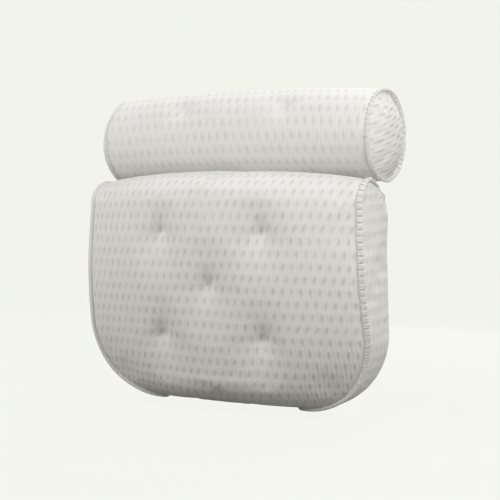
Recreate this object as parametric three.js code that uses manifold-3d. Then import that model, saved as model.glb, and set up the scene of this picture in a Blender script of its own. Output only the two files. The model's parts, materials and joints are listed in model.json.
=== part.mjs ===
// A bath pillow: a tufted, wedge-shaped back pad with a neck roll hinged along its top edge.
// Suction cups behind the pad and the roll hold it on the bath. Sizes are in millimetres.
// +X is to the right seen from the front, +Y points into the bath wall and +Z is up.
// The origin lies on the bath wall, midway between the four cups behind the pad.
import * as THREE from "three";
import { mergeVertices } from "three/addons/utils/BufferGeometryUtils.js";
import Module from "manifold-3d";

const wasm = await Module();
wasm.setup();

// Clearances and fabric
const GAP = 0.3; // between two pieces that touch
const SEAM_GAP = 0.6; // between the two mitred edges of a seam
const COVER_WALL = 4; // air mesh of the covers
const PANEL_WALL = 4; // back panel

// Pad outline, seen from the front
const PAD_BOTTOM_Z = -127;
const PAD_SIDE_HEIGHT = 259; // bottom to the top of a side
const PAD_CREST_RISE = 12; // the middle of the top stands this far above the sides
const PAD_WIDTH_LOW = 364; // at the bottom corners
const PAD_WIDTH_TOP = 350;
const CORNER_RADIUS = 84; // bottom corners

// Pad section, seen from the side
const CUP_STANDOFF = 20; // bath wall to the back panel
const PAD_THICK_TOP = 82; // at the side seams
const PAD_THICK_BOTTOM = 39;
const PAD_TAPER_RISE = 185; // height over which the side seams reach the full thickness
const PAD_THICK_MID = 107; // at the crown
const PAD_CROWN_HEIGHT = 228; // crown above the bottom
const PAD_CROWN_RADIUS = 880; // curve of the crown from top to bottom
const CROWN_POWER = 2.4; // how late the crown falls away towards the side seams
const NOSE_RADIUS_SIDE = 30; // top front edge at the sides
const NOSE_DEPTH_MID = 45; // top front edge in the middle, front to back
const TOP_FALL_SIDE = 12; // the top falls this much towards the back
const TOP_FALL_MID = 26; // deeper in the middle, where the roll nests
const BOTTOM_NOSE_RADIUS = 35; // bottom front edge in the middle
const GUSSET_BULGE = 4;
const GUSSET_END_WIDTH = 4; // the gusset's short edge at its top end
const CORE_LAYER = 26; // each of the two flat layers of spacer mesh

// Tufts: a thread draws the front in at each
const PAD_TUFT_X = 67;
const PAD_TUFT_TOP_Z = 71;
const PAD_TUFT_LOW_Z = -48;
const PAD_TUFT_DEPTH = 11;
const PAD_TUFT_REACH = 40; // radius of the dimple
const ROLL_TUFT_X = 68;
const ROLL_TUFT_ANGLE = 147; // degrees round the roll from its back, over the top
const ROLL_TUFT_DEPTH = 5;
const ROLL_TUFT_REACH = 30;
const THREAD_RADIUS = 0.9;
const KNOT_RADIUS = 2.4;
const KNOT_LENGTH = 2.8;
const KNOT_SLOPE = 0.8; // rise of the knot's foot per unit of radius

// Neck roll
const ROLL_RADIUS = 55; // in the middle
const ROLL_LENGTH = 348; // between its end seams
const ROLL_DRAW_IN = 4; // the ends are drawn in this much
const ROLL_DRAW_LENGTH = 150; // along which it narrows
const ROLL_FORWARD = 10; // axis in front of the pad's back
const CAP_DOME = 10;

// Bound seams: the seam allowances stand out as a flange under a binding tape
const BINDING_HEIGHT = 7;
const BINDING_THICK = 3.2;
const BINDING_LEAN = 0.3; // the pad's bindings lean back by this slope
const BINDING_TOP_SHORT = 22; // the pad's bindings stop this far from its back
const RING_FLARE = 0.55; // the roll's bindings spread outwards by this slope

// Hinge strip between the pad and the roll
const HINGE_HEIGHT = 9.5; // pad to roll, in the middle
const HINGE_THICK = 2;
const HINGE_LENGTH = 300;

// Suction cups and their eyelets
const CUP_SPACING_X = 210;
const CUP_SPACING_Z = 130;
const ROLL_CUP_SPACING_X = 210;
const CUP_RADIUS = 28;
const CUP_LIP = 3; // width of the flat lip
const CUP_HOLLOW = 9; // depth inside the skirt
const CUP_SHOULDER_RADIUS = 9;
const CUP_SHOULDER_RISE = 2; // shoulder to the start of the skirt
const CUP_EDGE = 1; // thickness of the skirt's rim
const CUP_NECK_RADIUS = 5.2;
const CUP_HEAD_RADIUS = 8.4;
const CUP_HEAD_LENGTH = 5;
const EYELET_BORE = 5.7;
const EYELET_BARREL = 1.5; // wall of the barrel
const EYELET_RADIUS = 10.5;
const EYELET_FLANGE = 1.5;
const HEAD_POCKET = 2; // room round the cup's head inside the filling

// Facets
const FLAP_STEPS = 2;
const UNDER_STEPS = 5;
const FRONT_STEPS = [4, 5, 5, 3]; // between the bottom nose, the tufts and the top nose
const NOSE_STEPS = 5;
const TOP_STEPS = 3;
const TUFT_COLUMNS = 3; // from the middle to the outer tufts
const EDGE_COLUMNS = 5; // from the outer tufts to the side seams
const GUSSET_COLUMNS = 4;
const ROLL_SIDES = 24;
const ROLL_STEPS = [3, 5]; // between the middle, a tuft and the end seam
const CAP_RINGS = 4;
const RING_SIDES = 32;
const CUP_SIDES = 20;
const EYELET_SIDES = 16;
const THREAD_SIDES = 6;

// Values worked out from the sizes above
const PAD_BACK_Y = -CUP_STANDOFF;
const HALF_LOW = PAD_WIDTH_LOW / 2;
const HALF_TOP = PAD_WIDTH_TOP / 2;
const CORNER_X = HALF_LOW - CORNER_RADIUS; // the bottom flap ends where the corners start
const CORNER_Z = PAD_BOTTOM_Z + CORNER_RADIUS;
const SIDE_TOP_Z = PAD_BOTTOM_Z + PAD_SIDE_HEIGHT;
const CREST_Z = SIDE_TOP_Z + PAD_CREST_RISE;
const CROWN_Z = PAD_BOTTOM_Z + PAD_CROWN_HEIGHT;
const NOSE_Z = SIDE_TOP_Z - NOSE_RADIUS_SIDE;
const NOSE_RISE_MID = CREST_Z - NOSE_Z;
const UNDER_Z = PAD_BOTTOM_Z + BOTTOM_NOSE_RADIUS;
const SIDE_NOSE_Y = seamDepth(NOSE_Z) + NOSE_RADIUS_SIDE;
const MID_NOSE_Y = crownDepth(NOSE_Z) + NOSE_DEPTH_MID;
const UNDER_Y = crownDepth(UNDER_Z) + BOTTOM_NOSE_RADIUS;
const HINGE_Y = PAD_BACK_Y - ROLL_FORWARD;
const HINGE_SHARE = (HINGE_Y - MID_NOSE_Y) / (PAD_BACK_Y - MID_NOSE_Y); // of the way from crest to back
const HINGE_FOOT_Z = CREST_Z - TOP_FALL_MID * HINGE_SHARE;
const ROLL_Z = HINGE_FOOT_Z + HINGE_HEIGHT + ROLL_RADIUS;
const HALF_ROLL = ROLL_LENGTH / 2;
const PAD_TUFTS = [
  ["upper_left", -PAD_TUFT_X, PAD_TUFT_TOP_Z],
  ["upper_right", PAD_TUFT_X, PAD_TUFT_TOP_Z],
  ["centre", 0, (PAD_TUFT_TOP_Z + PAD_TUFT_LOW_Z) / 2],
  ["lower_left", -PAD_TUFT_X, PAD_TUFT_LOW_Z],
  ["lower_right", PAD_TUFT_X, PAD_TUFT_LOW_Z],
];
const ROLL_TUFTS = [
  ["left", -ROLL_TUFT_X],
  ["right", ROLL_TUFT_X],
];
const PAD_CUPS = [
  ["upper_left", -CUP_SPACING_X / 2, CUP_SPACING_Z / 2],
  ["upper_right", CUP_SPACING_X / 2, CUP_SPACING_Z / 2],
  ["lower_left", -CUP_SPACING_X / 2, -CUP_SPACING_Z / 2],
  ["lower_right", CUP_SPACING_X / 2, -CUP_SPACING_Z / 2],
];
const ROLL_CUPS = [
  ["left", -ROLL_CUP_SPACING_X / 2],
  ["right", ROLL_CUP_SPACING_X / 2],
];

// Materials
function cloth(color, roughness) {
  return new THREE.MeshStandardMaterial({ color, roughness, metalness: 0 });
}
const AIR_MESH = cloth(0xe8e6e1, 0.9);
const BACK_MESH = cloth(0xdddbd5, 0.92);
const BINDING_TAPE = cloth(0xf0eeea, 0.75);
const SPACER_MESH = cloth(0xd3d5d4, 0.85);
const FIBRE_FILL = cloth(0xf4f4f2, 0.95);
const THREAD = cloth(0xf2f0ea, 0.7);
const CLEAR_PVC = new THREE.MeshStandardMaterial({ color: 0xd9e2e2, roughness: 0.12, metalness: 0 });
const EYELET_PLASTIC = new THREE.MeshStandardMaterial({ color: 0xe9e9e6, roughness: 0.4, metalness: 0 });

// Solids and meshes

/** Makes a solid of a closed geometry. */
function solidOf(geometry) {
  const bare = new THREE.BufferGeometry().setAttribute("position", geometry.getAttribute("position"));
  bare.setIndex(geometry.index);
  const merged = mergeVertices(bare, 1e-4);
  return new wasm.Manifold(
    new wasm.Mesh({
      numProp: 3,
      vertProperties: new Float32Array(merged.attributes.position.array),
      triVerts: new Uint32Array(merged.index.array),
    }),
  );
}

/** Gives a solid back as a geometry. */
function geometryOf(solid) {
  const mesh = solid.getMesh();
  const geometry = new THREE.BufferGeometry();
  geometry.setAttribute("position", new THREE.BufferAttribute(new Float32Array(mesh.vertProperties), 3));
  geometry.setIndex(new THREE.BufferAttribute(new Uint32Array(mesh.triVerts), 1));
  geometry.computeVertexNormals();
  return geometry;
}

/** Cuts each cutter away from a geometry. */
function cut(geometry, cutters) {
  return geometryOf(cutters.reduce((solid, cutter) => solid.subtract(solidOf(cutter)), solidOf(geometry)));
}

/** Makes an indexed geometry of points and triangles, leaving out triangles with no area. */
function surface(points, triangles) {
  const geometry = new THREE.BufferGeometry();
  geometry.setAttribute("position", new THREE.Float32BufferAttribute(points.flat(), 3));
  geometry.setIndex(triangles.filter(([a, b, c]) => a !== b && b !== c && c !== a).flat());
  geometry.computeVertexNormals();
  return geometry;
}

/** Makes a closed sheet between two grids of points: outer[row][column] faces out. */
function sheet(outer, inner) {
  const rows = outer.length;
  const columns = outer[0].length;
  const points = [...outer.flat(), ...inner.flat()];
  const at = (side, row, column) => side * rows * columns + row * columns + column;
  const triangles = [];
  const quad = (a, b, c, d) => triangles.push([a, b, c], [a, c, d]);
  for (let r = 0; r + 1 < rows; r++) {
    for (let c = 0; c + 1 < columns; c++) {
      quad(at(0, r, c), at(0, r, c + 1), at(0, r + 1, c + 1), at(0, r + 1, c));
      quad(at(1, r, c), at(1, r + 1, c), at(1, r + 1, c + 1), at(1, r, c + 1));
    }
    quad(at(0, r, 0), at(0, r + 1, 0), at(1, r + 1, 0), at(1, r, 0));
    quad(at(0, r + 1, columns - 1), at(0, r, columns - 1), at(1, r, columns - 1), at(1, r + 1, columns - 1));
  }
  for (let c = 0; c + 1 < columns; c++) {
    quad(at(0, 0, c + 1), at(0, 0, c), at(1, 0, c), at(1, 0, c + 1));
    quad(at(0, rows - 1, c), at(0, rows - 1, c + 1), at(1, rows - 1, c + 1), at(1, rows - 1, c));
  }
  return surface(points, triangles);
}

/** Turns a profile of [radius, place along the axis] points into a solid round +Y. */
function turned(profile, sides) {
  return new THREE.LatheGeometry(profile.map(([r, y]) => new THREE.Vector2(r, y)), sides);
}

/** Turns a closed profile of [radius, place] points about the X axis. */
function turnedAboutX(profile, sides) {
  return turned(profile, sides).rotateZ(-Math.PI / 2);
}

function named(name, geometry, material) {
  const mesh = new THREE.Mesh(geometry, material);
  mesh.name = name;
  return mesh;
}

/** Mirrors a grid of points from the right side to the left, keeping its faces outwards. */
function mirrored(grid) {
  return grid.map((row) => row.map(([x, y, z]) => [-x, y, z]).reverse());
}

// Pad form

/** Depth of the front seam at a side, which tapers towards the bottom. */
function seamDepth(z) {
  const share = Math.min(1, Math.max(0, (z - PAD_BOTTOM_Z) / PAD_TAPER_RISE));
  return PAD_BACK_Y - PAD_THICK_BOTTOM - (PAD_THICK_TOP - PAD_THICK_BOTTOM) * Math.sin((share * Math.PI) / 2);
}

/** Depth of the front in the middle, along the crown's curve. */
function crownDepth(z) {
  return PAD_BACK_Y - PAD_THICK_MID + (z - CROWN_Z) ** 2 / (2 * PAD_CROWN_RADIUS);
}

/** How far a dimple draws the cover in, at a distance from its tuft. */
function dimple(distance, depth, reach) {
  return distance < reach ? depth * (1 - distance / reach) ** 2 : 0;
}

/** Half width of the pad at a height, below the top nose. */
function sideX(z, inset) {
  if (z > CORNER_Z) return THREE.MathUtils.mapLinear(z, CORNER_Z, NOSE_Z, HALF_LOW, HALF_TOP) - inset;
  return CORNER_X + Math.sqrt((CORNER_RADIUS - inset) ** 2 - (z - CORNER_Z) ** 2);
}

// The cover wraps the pad from the bottom of the back, under, up the front and over the top.
// Each zone of that wrap gives a point at the right side seam and one in the middle.
const ZONES = {
  flap: {
    side: (s, inset, back) => {
      const seam = seamDepth(PAD_BOTTOM_Z) + inset;
      return [CORNER_X, lerp(back, seam, s), PAD_BOTTOM_Z + inset];
    },
    middle: (s, inset, back) => [lerp(back, UNDER_Y, s), PAD_BOTTOM_Z + inset],
  },
  under: {
    side: (s, inset) => {
      const radius = CORNER_RADIUS - inset;
      const last = Math.asin((UNDER_Z - CORNER_Z) / radius);
      const angle = lerp(-Math.PI / 2, last, s);
      const z = CORNER_Z + radius * Math.sin(angle);
      return [CORNER_X + radius * Math.cos(angle), seamDepth(z) + inset, z];
    },
    middle: (s, inset) => {
      const radius = BOTTOM_NOSE_RADIUS - inset;
      const angle = (s * Math.PI) / 2;
      return [UNDER_Y - radius * Math.sin(angle), UNDER_Z - radius * Math.cos(angle)];
    },
  },
  front: {
    side: (z, inset) => [sideX(z, inset), seamDepth(z) + inset, z],
    middle: (z, inset) => [crownDepth(z) + inset, z],
  },
  nose: {
    side: (s, inset) => {
      const radius = NOSE_RADIUS_SIDE - inset;
      const angle = (s * Math.PI) / 2;
      return [HALF_TOP - inset, SIDE_NOSE_Y - radius * Math.cos(angle), NOSE_Z + radius * Math.sin(angle)];
    },
    middle: (s, inset) => {
      const angle = (s * Math.PI) / 2;
      return [
        MID_NOSE_Y - (NOSE_DEPTH_MID - inset) * Math.cos(angle),
        NOSE_Z + (NOSE_RISE_MID - inset) * Math.sin(angle),
      ];
    },
  },
  top: {
    side: (s, inset, back) => {
      const z = SIDE_TOP_Z - inset - TOP_FALL_SIDE * s;
      return [HALF_TOP - inset, lerp(SIDE_NOSE_Y, back, s), z];
    },
    middle: (s, inset, back) => [lerp(MID_NOSE_Y, back, s), CREST_Z - inset - TOP_FALL_MID * s],
  },
};

function lerp(a, b, s) {
  return a + (b - a) * s;
}

/** The stations of one zone, from one value to another, without the last. */
function stations(zone, steps, first = 0, last = 1) {
  return Array.from({ length: steps }, (_, i) => ({ zone, s: lerp(first, last, i / steps) }));
}

const FRONT_LEVELS = [UNDER_Z, PAD_TUFT_LOW_Z, PAD_TUFTS[2][2], PAD_TUFT_TOP_Z, NOSE_Z];
const SEAM_STATIONS = [
  ...stations("under", UNDER_STEPS),
  ...FRONT_STEPS.flatMap((steps, i) => stations("front", steps, FRONT_LEVELS[i], FRONT_LEVELS[i + 1])),
  ...stations("nose", NOSE_STEPS),
  ...stations("top", TOP_STEPS),
  { zone: "top", s: 1 },
];
const COVER_STATIONS = [...stations("flap", FLAP_STEPS), ...SEAM_STATIONS];

/** Places across the pad, with one column of points at each outer tuft. */
function columnsAcross(half) {
  const right = [];
  for (let i = 0; i <= TUFT_COLUMNS; i++) right.push((PAD_TUFT_X * i) / TUFT_COLUMNS);
  for (let i = 1; i <= EDGE_COLUMNS; i++) right.push(lerp(PAD_TUFT_X, half, i / EDGE_COLUMNS));
  return [...right.slice(1).reverse().map((x) => -x), ...right];
}

/** One row of the cover from the left seam to the right one. */
function coverRow({ zone, s }, inset, back = PAD_BACK_Y) {
  const [half, seamY, seamZ] = ZONES[zone].side(s, inset, back);
  const [middleY, middleZ] = ZONES[zone].middle(s, inset, back);
  const onFront = zone === "front" || zone === "nose" || zone === "under";
  return columnsAcross(half).map((x) => {
    const crown = 1 - Math.abs(x / half) ** CROWN_POWER;
    const z = lerp(seamZ, middleZ, crown);
    const drawn = PAD_TUFTS.map(([, tx, tz]) => {
      return dimple(Math.hypot(x - tx, z - tz), PAD_TUFT_DEPTH, PAD_TUFT_REACH);
    });
    return [x, lerp(seamY, middleY, crown) + (onFront ? Math.max(...drawn) : 0), z];
  });
}

function coverGrid(inset, back) {
  return COVER_STATIONS.map((station) => coverRow(station, inset, back));
}

/** Direction in Y and Z from a side seam towards the gusset. */
function seamInward({ zone, s }) {
  if (zone === "top") return [0, -1];
  if (zone !== "nose") return [1, 0];
  const angle = (s * Math.PI) / 2;
  return [Math.cos(angle), -Math.sin(angle)];
}

/** Direction in X and Z that the right gusset faces. */
function gussetFacing({ zone, s }, z) {
  if (zone !== "under" && z > CORNER_Z) return [1, 0];
  const height = zone === "under" ? ZONES.under.side(s, 0)[2] : z;
  const sine = (height - CORNER_Z) / CORNER_RADIUS;
  return [Math.sqrt(Math.max(0, 1 - sine * sine)), sine];
}

/** Height on the back edge that faces a station of the side seam. */
function backEdgeZ(index, seamZ) {
  const first = SEAM_STATIONS.findIndex(({ zone }) => zone === "nose");
  if (index < first) return seamZ;
  const last = SIDE_TOP_Z - TOP_FALL_SIDE - GUSSET_END_WIDTH;
  return lerp(NOSE_Z, last, (index - first) / (SEAM_STATIONS.length - 1 - first));
}

/** The right gusset's points at an inset, from its front seam to the back panel. */
function gussetGrid(inset, gap, back, columns) {
  return SEAM_STATIONS.map((station, index) => {
    const [x, y, z] = ZONES[station.zone].side(station.s, inset, back);
    const [inY, inZ] = seamInward(station);
    const frontY = y + gap * inY;
    const frontZ = z + gap * inZ;
    const backZ = backEdgeZ(index, z) - (station.zone === "top" || station.zone === "nose" ? inset : 0);
    const facing = gussetFacing(station, z);
    const tail = index === 0 ? gap : 0; // clear of the flap's side edge
    return Array.from({ length: columns + 1 }, (_, i) => {
      const across = i / columns;
      const swell = columns > 1 ? GUSSET_BULGE * 4 * across * (1 - across) : 0;
      const room = Math.min(1, (back - frontY) / PAD_THICK_TOP);
      return [
        x + tail + swell * room * facing[0],
        lerp(frontY, back, across),
        lerp(frontZ, backZ, across) + swell * room * facing[1],
      ];
    });
  });
}

/** The whole pad as one closed body at an inset, with a flat back. */
function padBody(inset, back) {
  const front = coverGrid(inset, back);
  const right = gussetGrid(inset, 0, back, 1);
  const left = mirrored(right);
  const points = [];
  const triangles = [];
  const add = (grid) => {
    const start = points.length;
    const columns = grid[0].length;
    points.push(...grid.flat());
    for (let r = 0; r + 1 < grid.length; r++) {
      for (let c = 0; c + 1 < columns; c++) {
        const [a, b] = [start + r * columns + c, start + (r + 1) * columns + c];
        triangles.push([a, a + 1, b + 1], [a, b + 1, b]);
      }
    }
  };
  [front, right, left].forEach(add);
  // The flap's side edges close along the gussets' first rows, and the back closes along them all.
  const rim = [
    ...front[0],
    ...right.slice(1).map((row) => row[1]),
    ...front.at(-1).toReversed(),
    ...left.slice(1).map((row) => row[0]).reverse(),
  ];
  const start = points.length;
  points.push(...rim);
  const contour = rim.map(([x, , z]) => new THREE.Vector2(x, z));
  for (const [a, b, c] of THREE.ShapeUtils.triangulateShape(contour, [])) {
    triangles.push([start + a, start + c, start + b]);
  }
  const sideOfFlap = (sign) => {
    const foot = points.length;
    const edge = front.slice(0, FLAP_STEPS + 1).map((row) => (sign > 0 ? row.at(-1) : row[0]));
    points.push(...edge);
    for (let i = 1; i < FLAP_STEPS; i++) {
      triangles.push(sign > 0 ? [foot, foot + i + 1, foot + i] : [foot, foot + i, foot + i + 1]);
    }
  };
  [1, -1].forEach(sideOfFlap);
  return surface(points, triangles);
}

// Pad pieces

/** A slice of space between two depths, wide and high enough for the whole pad. */
function slab(front, back) {
  const box = new THREE.BoxGeometry(2 * PAD_WIDTH_LOW, back - front, 2 * (PAD_SIDE_HEIGHT + CREST_Z));
  return box.translate(0, (front + back) / 2, 0);
}

/** A straight rod along Y between two depths. */
function rodAlongY(radius, x, z, front, back, sides) {
  return new THREE.CylinderGeometry(radius, radius, back - front, sides).translate(x, (front + back) / 2, z);
}

/** Depth of the cover's outer face at a tuft. */
function tuftDepth(x, z) {
  const half = sideX(z, 0);
  const crown = 1 - Math.abs(x / half) ** CROWN_POWER;
  return lerp(seamDepth(z), crownDepth(z), crown) + PAD_TUFT_DEPTH;
}

/** Rods that clear the tuft threads through the whole pad. */
function threadHoles() {
  const reach = 2 * PAD_THICK_MID;
  return PAD_TUFTS.map(([, x, z]) =>
    rodAlongY(THREAD_RADIUS + GAP, x, z, PAD_BACK_Y - reach, PAD_BACK_Y + reach, THREAD_SIDES),
  );
}

function padCover() {
  return cut(sheet(coverGrid(0), coverGrid(COVER_WALL)), threadHoles());
}

function padGusset(side) {
  const grids = [0, COVER_WALL].map((inset) => gussetGrid(inset, SEAM_GAP, PAD_BACK_Y, GUSSET_COLUMNS));
  return sheet(...(side > 0 ? grids : grids.map(mirrored)));
}

/** The flat back panel, which fits inside the cover's and gussets' back edges. */
function padBackPanel() {
  const inset = COVER_WALL + GAP;
  const radius = CORNER_RADIUS - inset;
  const outline = new THREE.Shape();
  outline.moveTo(-CORNER_X, PAD_BOTTOM_Z + inset);
  outline.lineTo(CORNER_X, PAD_BOTTOM_Z + inset);
  outline.absarc(CORNER_X, CORNER_Z, radius, -Math.PI / 2, 0, false);
  outline.lineTo(HALF_TOP - inset, NOSE_Z);
  for (const [x, , z] of coverRow({ zone: "top", s: 1 }, inset).toReversed()) outline.lineTo(x, z);
  outline.lineTo(-HALF_TOP + inset, NOSE_Z);
  outline.absarc(-CORNER_X, CORNER_Z, radius, Math.PI, 1.5 * Math.PI, false);
  const thickness = { depth: PANEL_WALL, bevelEnabled: false, curveSegments: 10 };
  const panel = new THREE.ExtrudeGeometry(outline, thickness);
  panel.rotateX(Math.PI / 2).translate(0, PAD_BACK_Y, 0);
  const eyeletHoles = PAD_CUPS.map(([, x, z]) =>
    rodAlongY(EYELET_BORE + EYELET_BARREL + GAP, x, z, 2 * PAD_BACK_Y, -PAD_BACK_Y, EYELET_SIDES),
  );
  return cut(panel, [...eyeletHoles, ...threadHoles()]);
}

const CORE_BACK_Y = PAD_BACK_Y - PANEL_WALL - GAP;
const HEAD_FRONT_Y = PAD_BACK_Y - PANEL_WALL - GAP - EYELET_FLANGE - GAP - CUP_HEAD_LENGTH;

/** The pad's filling: two flat layers of spacer mesh and a crowned one in front. */
function padCore() {
  const body = solidOf(padBody(COVER_WALL + GAP, CORE_BACK_Y));
  const pockets = PAD_CUPS.map(([, x, z]) =>
    rodAlongY(EYELET_RADIUS + HEAD_POCKET, x, z, HEAD_FRONT_Y - HEAD_POCKET, -PAD_BACK_Y, EYELET_SIDES),
  );
  const ends = [0, CORE_LAYER, 2 * CORE_LAYER, 2 * PAD_THICK_MID].map((depth) => CORE_BACK_Y - depth);
  return ["back", "middle", "front"].map((name, i) => {
    const layer = body.intersect(solidOf(slab(ends[i + 1] + (i < 2 ? GAP : 0), ends[i])));
    return [name, cut(geometryOf(layer), [...threadHoles(), ...pockets])];
  });
}

/** A tuft's thread along Y, knotted in front of the cover and behind the back panel. */
function padThread(x, z) {
  const front = tuftDepth(x, z);
  return threadBetween(front - GAP, PAD_BACK_Y + GAP).translate(x, 0, z);
}

/** A thread along Y between two faces, with a knot beyond each whose foot fits a dimple's slope. */
function threadBetween(front, back) {
  const knot = (end, away) => [
    [THREAD_RADIUS, end + away * KNOT_SLOPE * THREAD_RADIUS],
    [KNOT_RADIUS, end + away * KNOT_SLOPE * KNOT_RADIUS],
    [KNOT_RADIUS, end + away * KNOT_LENGTH],
    [0, end + away * (KNOT_LENGTH + KNOT_RADIUS / 4)],
  ];
  return turned([...knot(front, -1).reverse(), ...knot(back, 1)], THREAD_SIDES);
}

/** The binding on the right front seam: a flat flange from the bottom flap up over the top corner. */
function padBinding(side) {
  const end = 1 - BINDING_TOP_SHORT / (PAD_BACK_Y - SIDE_NOSE_Y);
  const foot = SEAM_GAP + 2 * GAP;
  const bound = SEAM_STATIONS.filter(({ zone, s }) => zone !== "top" || s < end);
  bound.push({ zone: "top", s: end });
  const path = bound.map((station) => {
    const [x, y, z] = ZONES[station.zone].side(station.s, 0, PAD_BACK_Y);
    return { station, point: new THREE.Vector3(x, y, z) };
  });
  const rows = path.map(({ station, point }, i) => {
    const before = path[Math.max(0, i - 1)].point;
    const after = path[Math.min(path.length - 1, i + 1)].point;
    const along = after.clone().sub(before).normalize();
    const [outX, outZ] = gussetFacing(station, point.z);
    const out = new THREE.Vector3(outX, BINDING_LEAN, outZ);
    out.addScaledVector(along, -out.dot(along)).normalize();
    const across = along.clone().cross(out);
    return [
      [foot, BINDING_THICK / 2],
      [foot, -BINDING_THICK / 2],
      [BINDING_HEIGHT * 0.85, -BINDING_THICK / 2],
      [BINDING_HEIGHT, 0],
      [BINDING_HEIGHT * 0.85, BINDING_THICK / 2],
    ].map(([o, a]) => point.clone().addScaledVector(out, o).addScaledVector(across, a).toArray());
  });
  return loftTube(side > 0 ? rows : rows.map((row) => row.map(([x, y, z]) => [-x, y, z]).reverse()));
}

/** Joins closed loops of points into a tube with flat ends. */
function loftTube(loops) {
  const count = loops[0].length;
  const points = loops.flat();
  const triangles = [];
  for (let r = 0; r + 1 < loops.length; r++) {
    for (let c = 0; c < count; c++) {
      const [a, b] = [r * count + c, r * count + ((c + 1) % count)];
      triangles.push([a, b, b + count], [a, b + count, a + count]);
    }
  }
  const last = (loops.length - 1) * count;
  for (let c = 1; c + 1 < count; c++) triangles.push([0, c + 1, c], [last, last + c, last + c + 1]);
  return surface(points, triangles);
}

/** The strip sewn to the pad's top, whose rounded upper edge the roll turns on. */
function hingeStrip() {
  const outline = new THREE.Shape();
  const tip = ROLL_Z - ROLL_RADIUS - GAP;
  const half = HINGE_LENGTH / 2;
  const share = (HINGE_Y - HINGE_THICK / 2 - MID_NOSE_Y) / (PAD_BACK_Y - MID_NOSE_Y);
  const sideShare = (HINGE_Y - HINGE_THICK / 2 - SIDE_NOSE_Y) / (PAD_BACK_Y - SIDE_NOSE_Y);
  const steps = 12;
  outline.moveTo(half, tip - HINGE_THICK / 2);
  outline.lineTo(-half, tip - HINGE_THICK / 2);
  for (let i = 0; i <= steps; i++) {
    const x = lerp(-half, half, i / steps);
    const crown = 1 - Math.abs(x / HALF_TOP) ** CROWN_POWER;
    const top = lerp(SIDE_TOP_Z - TOP_FALL_SIDE * sideShare, CREST_Z - TOP_FALL_MID * share, crown);
    outline.lineTo(x, top + GAP);
  }
  const web = new THREE.ExtrudeGeometry(outline, { depth: HINGE_THICK, bevelEnabled: false });
  web.rotateX(Math.PI / 2).translate(0, HINGE_Y + HINGE_THICK / 2, 0);
  const bead = new THREE.CylinderGeometry(HINGE_THICK / 2, HINGE_THICK / 2, HINGE_LENGTH, 12);
  bead.rotateZ(Math.PI / 2).translate(0, HINGE_Y, tip - HINGE_THICK / 2);
  return geometryOf(solidOf(web).add(solidOf(bead)));
}

// Neck roll, made round its own axis at the group's origin

/** Radius of the roll's cover at a place along it and an angle round it. */
function rollRadius(x, angle, inset) {
  const fromEnd = Math.max(0, 1 - (HALF_ROLL - Math.abs(x)) / ROLL_DRAW_LENGTH);
  const drawn = ROLL_TUFTS.map(([, tx]) => {
    const turn = THREE.MathUtils.euclideanModulo(angle - ROLL_TUFT_ANGLE + 180, 360) - 180;
    const round = THREE.MathUtils.degToRad(turn) * ROLL_RADIUS;
    return dimple(Math.hypot(x - tx, round), ROLL_TUFT_DEPTH, ROLL_TUFT_REACH);
  });
  return ROLL_RADIUS - ROLL_DRAW_IN * fromEnd ** 2 - Math.max(...drawn) - inset;
}

/** Places along the roll, with a ring of points at each tuft. */
function ringsAlong(half) {
  const levels = [0, ROLL_TUFT_X, half];
  const spread = (n, i) => Array.from({ length: n }, (_, k) => lerp(levels[i], levels[i + 1], k / n));
  const right = ROLL_STEPS.flatMap(spread);
  right.push(half);
  return [...right.slice(1).reverse().map((x) => -x), ...right];
}

/** One ring of the roll's cover. */
function rollRing(x, inset) {
  return Array.from({ length: ROLL_SIDES }, (_, i) => {
    const angle = ROLL_TUFT_ANGLE + (360 * i) / ROLL_SIDES;
    const radius = rollRadius(x, angle, inset);
    const turn = THREE.MathUtils.degToRad(angle);
    return [x, radius * Math.cos(turn), radius * Math.sin(turn)];
  });
}

/** Rods that clear the roll's tuft threads right through it. */
function rollThreadHoles() {
  return ROLL_TUFTS.map(([, x]) =>
    alongTuft(rodAlongY(THREAD_RADIUS + GAP, 0, 0, -2 * ROLL_RADIUS, 2 * ROLL_RADIUS, THREAD_SIDES), x),
  );
}

/** Turns what lies along Y to the line of the roll's tufts. */
function alongTuft(geometry, x) {
  return geometry.rotateX(THREE.MathUtils.degToRad(ROLL_TUFT_ANGLE - 180)).translate(x, 0, 0);
}

function rollCover() {
  const outer = ringsAlong(HALF_ROLL).map((x) => rollRing(x, 0));
  const inner = ringsAlong(HALF_ROLL).map((x) => rollRing(x, COVER_WALL));
  const tube = solidOf(loftTube(outer)).subtract(solidOf(loftTube(stretched(inner))));
  const eyeletHoles = ROLL_CUPS.map(([, x]) =>
    rodAlongY(EYELET_BORE + EYELET_BARREL + GAP, x, 0, 0, 2 * ROLL_RADIUS, EYELET_SIDES),
  );
  return cut(geometryOf(tube), [...rollThreadHoles(), ...eyeletHoles]);
}

/** Lengthens a run of rings a little past both ends, so that it cuts right through. */
function stretched(rings) {
  const past = (ring, by) => ring.map(([x, y, z]) => [x + by, y, z]);
  return [past(rings[0], -GAP), ...rings.slice(1, -1), past(rings.at(-1), GAP)];
}

// The end panels fit within the flats of the cover's inner face.
const CAP_RADIUS = (ROLL_RADIUS - ROLL_DRAW_IN - COVER_WALL) * Math.cos(Math.PI / ROLL_SIDES) - GAP;
const CORE_HALF = HALF_ROLL - COVER_WALL - GAP;

/** A domed end panel about the X axis, with its rim flush with the cover's end. */
function rollEndPanel() {
  const dome = (radius) => CAP_DOME * (1 - (radius / CAP_RADIUS) ** 2);
  const radii = Array.from({ length: CAP_RINGS + 1 }, (_, i) => (CAP_RADIUS * i) / CAP_RINGS);
  const inner = radii.map((r) => [r, HALF_ROLL - COVER_WALL + dome(r)]);
  const outer = radii.map((r) => [r, HALF_ROLL + dome(r)]).reverse();
  return turnedAboutX([...inner, ...outer], ROLL_SIDES).rotateX(THREE.MathUtils.degToRad(ROLL_TUFT_ANGLE));
}

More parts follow.
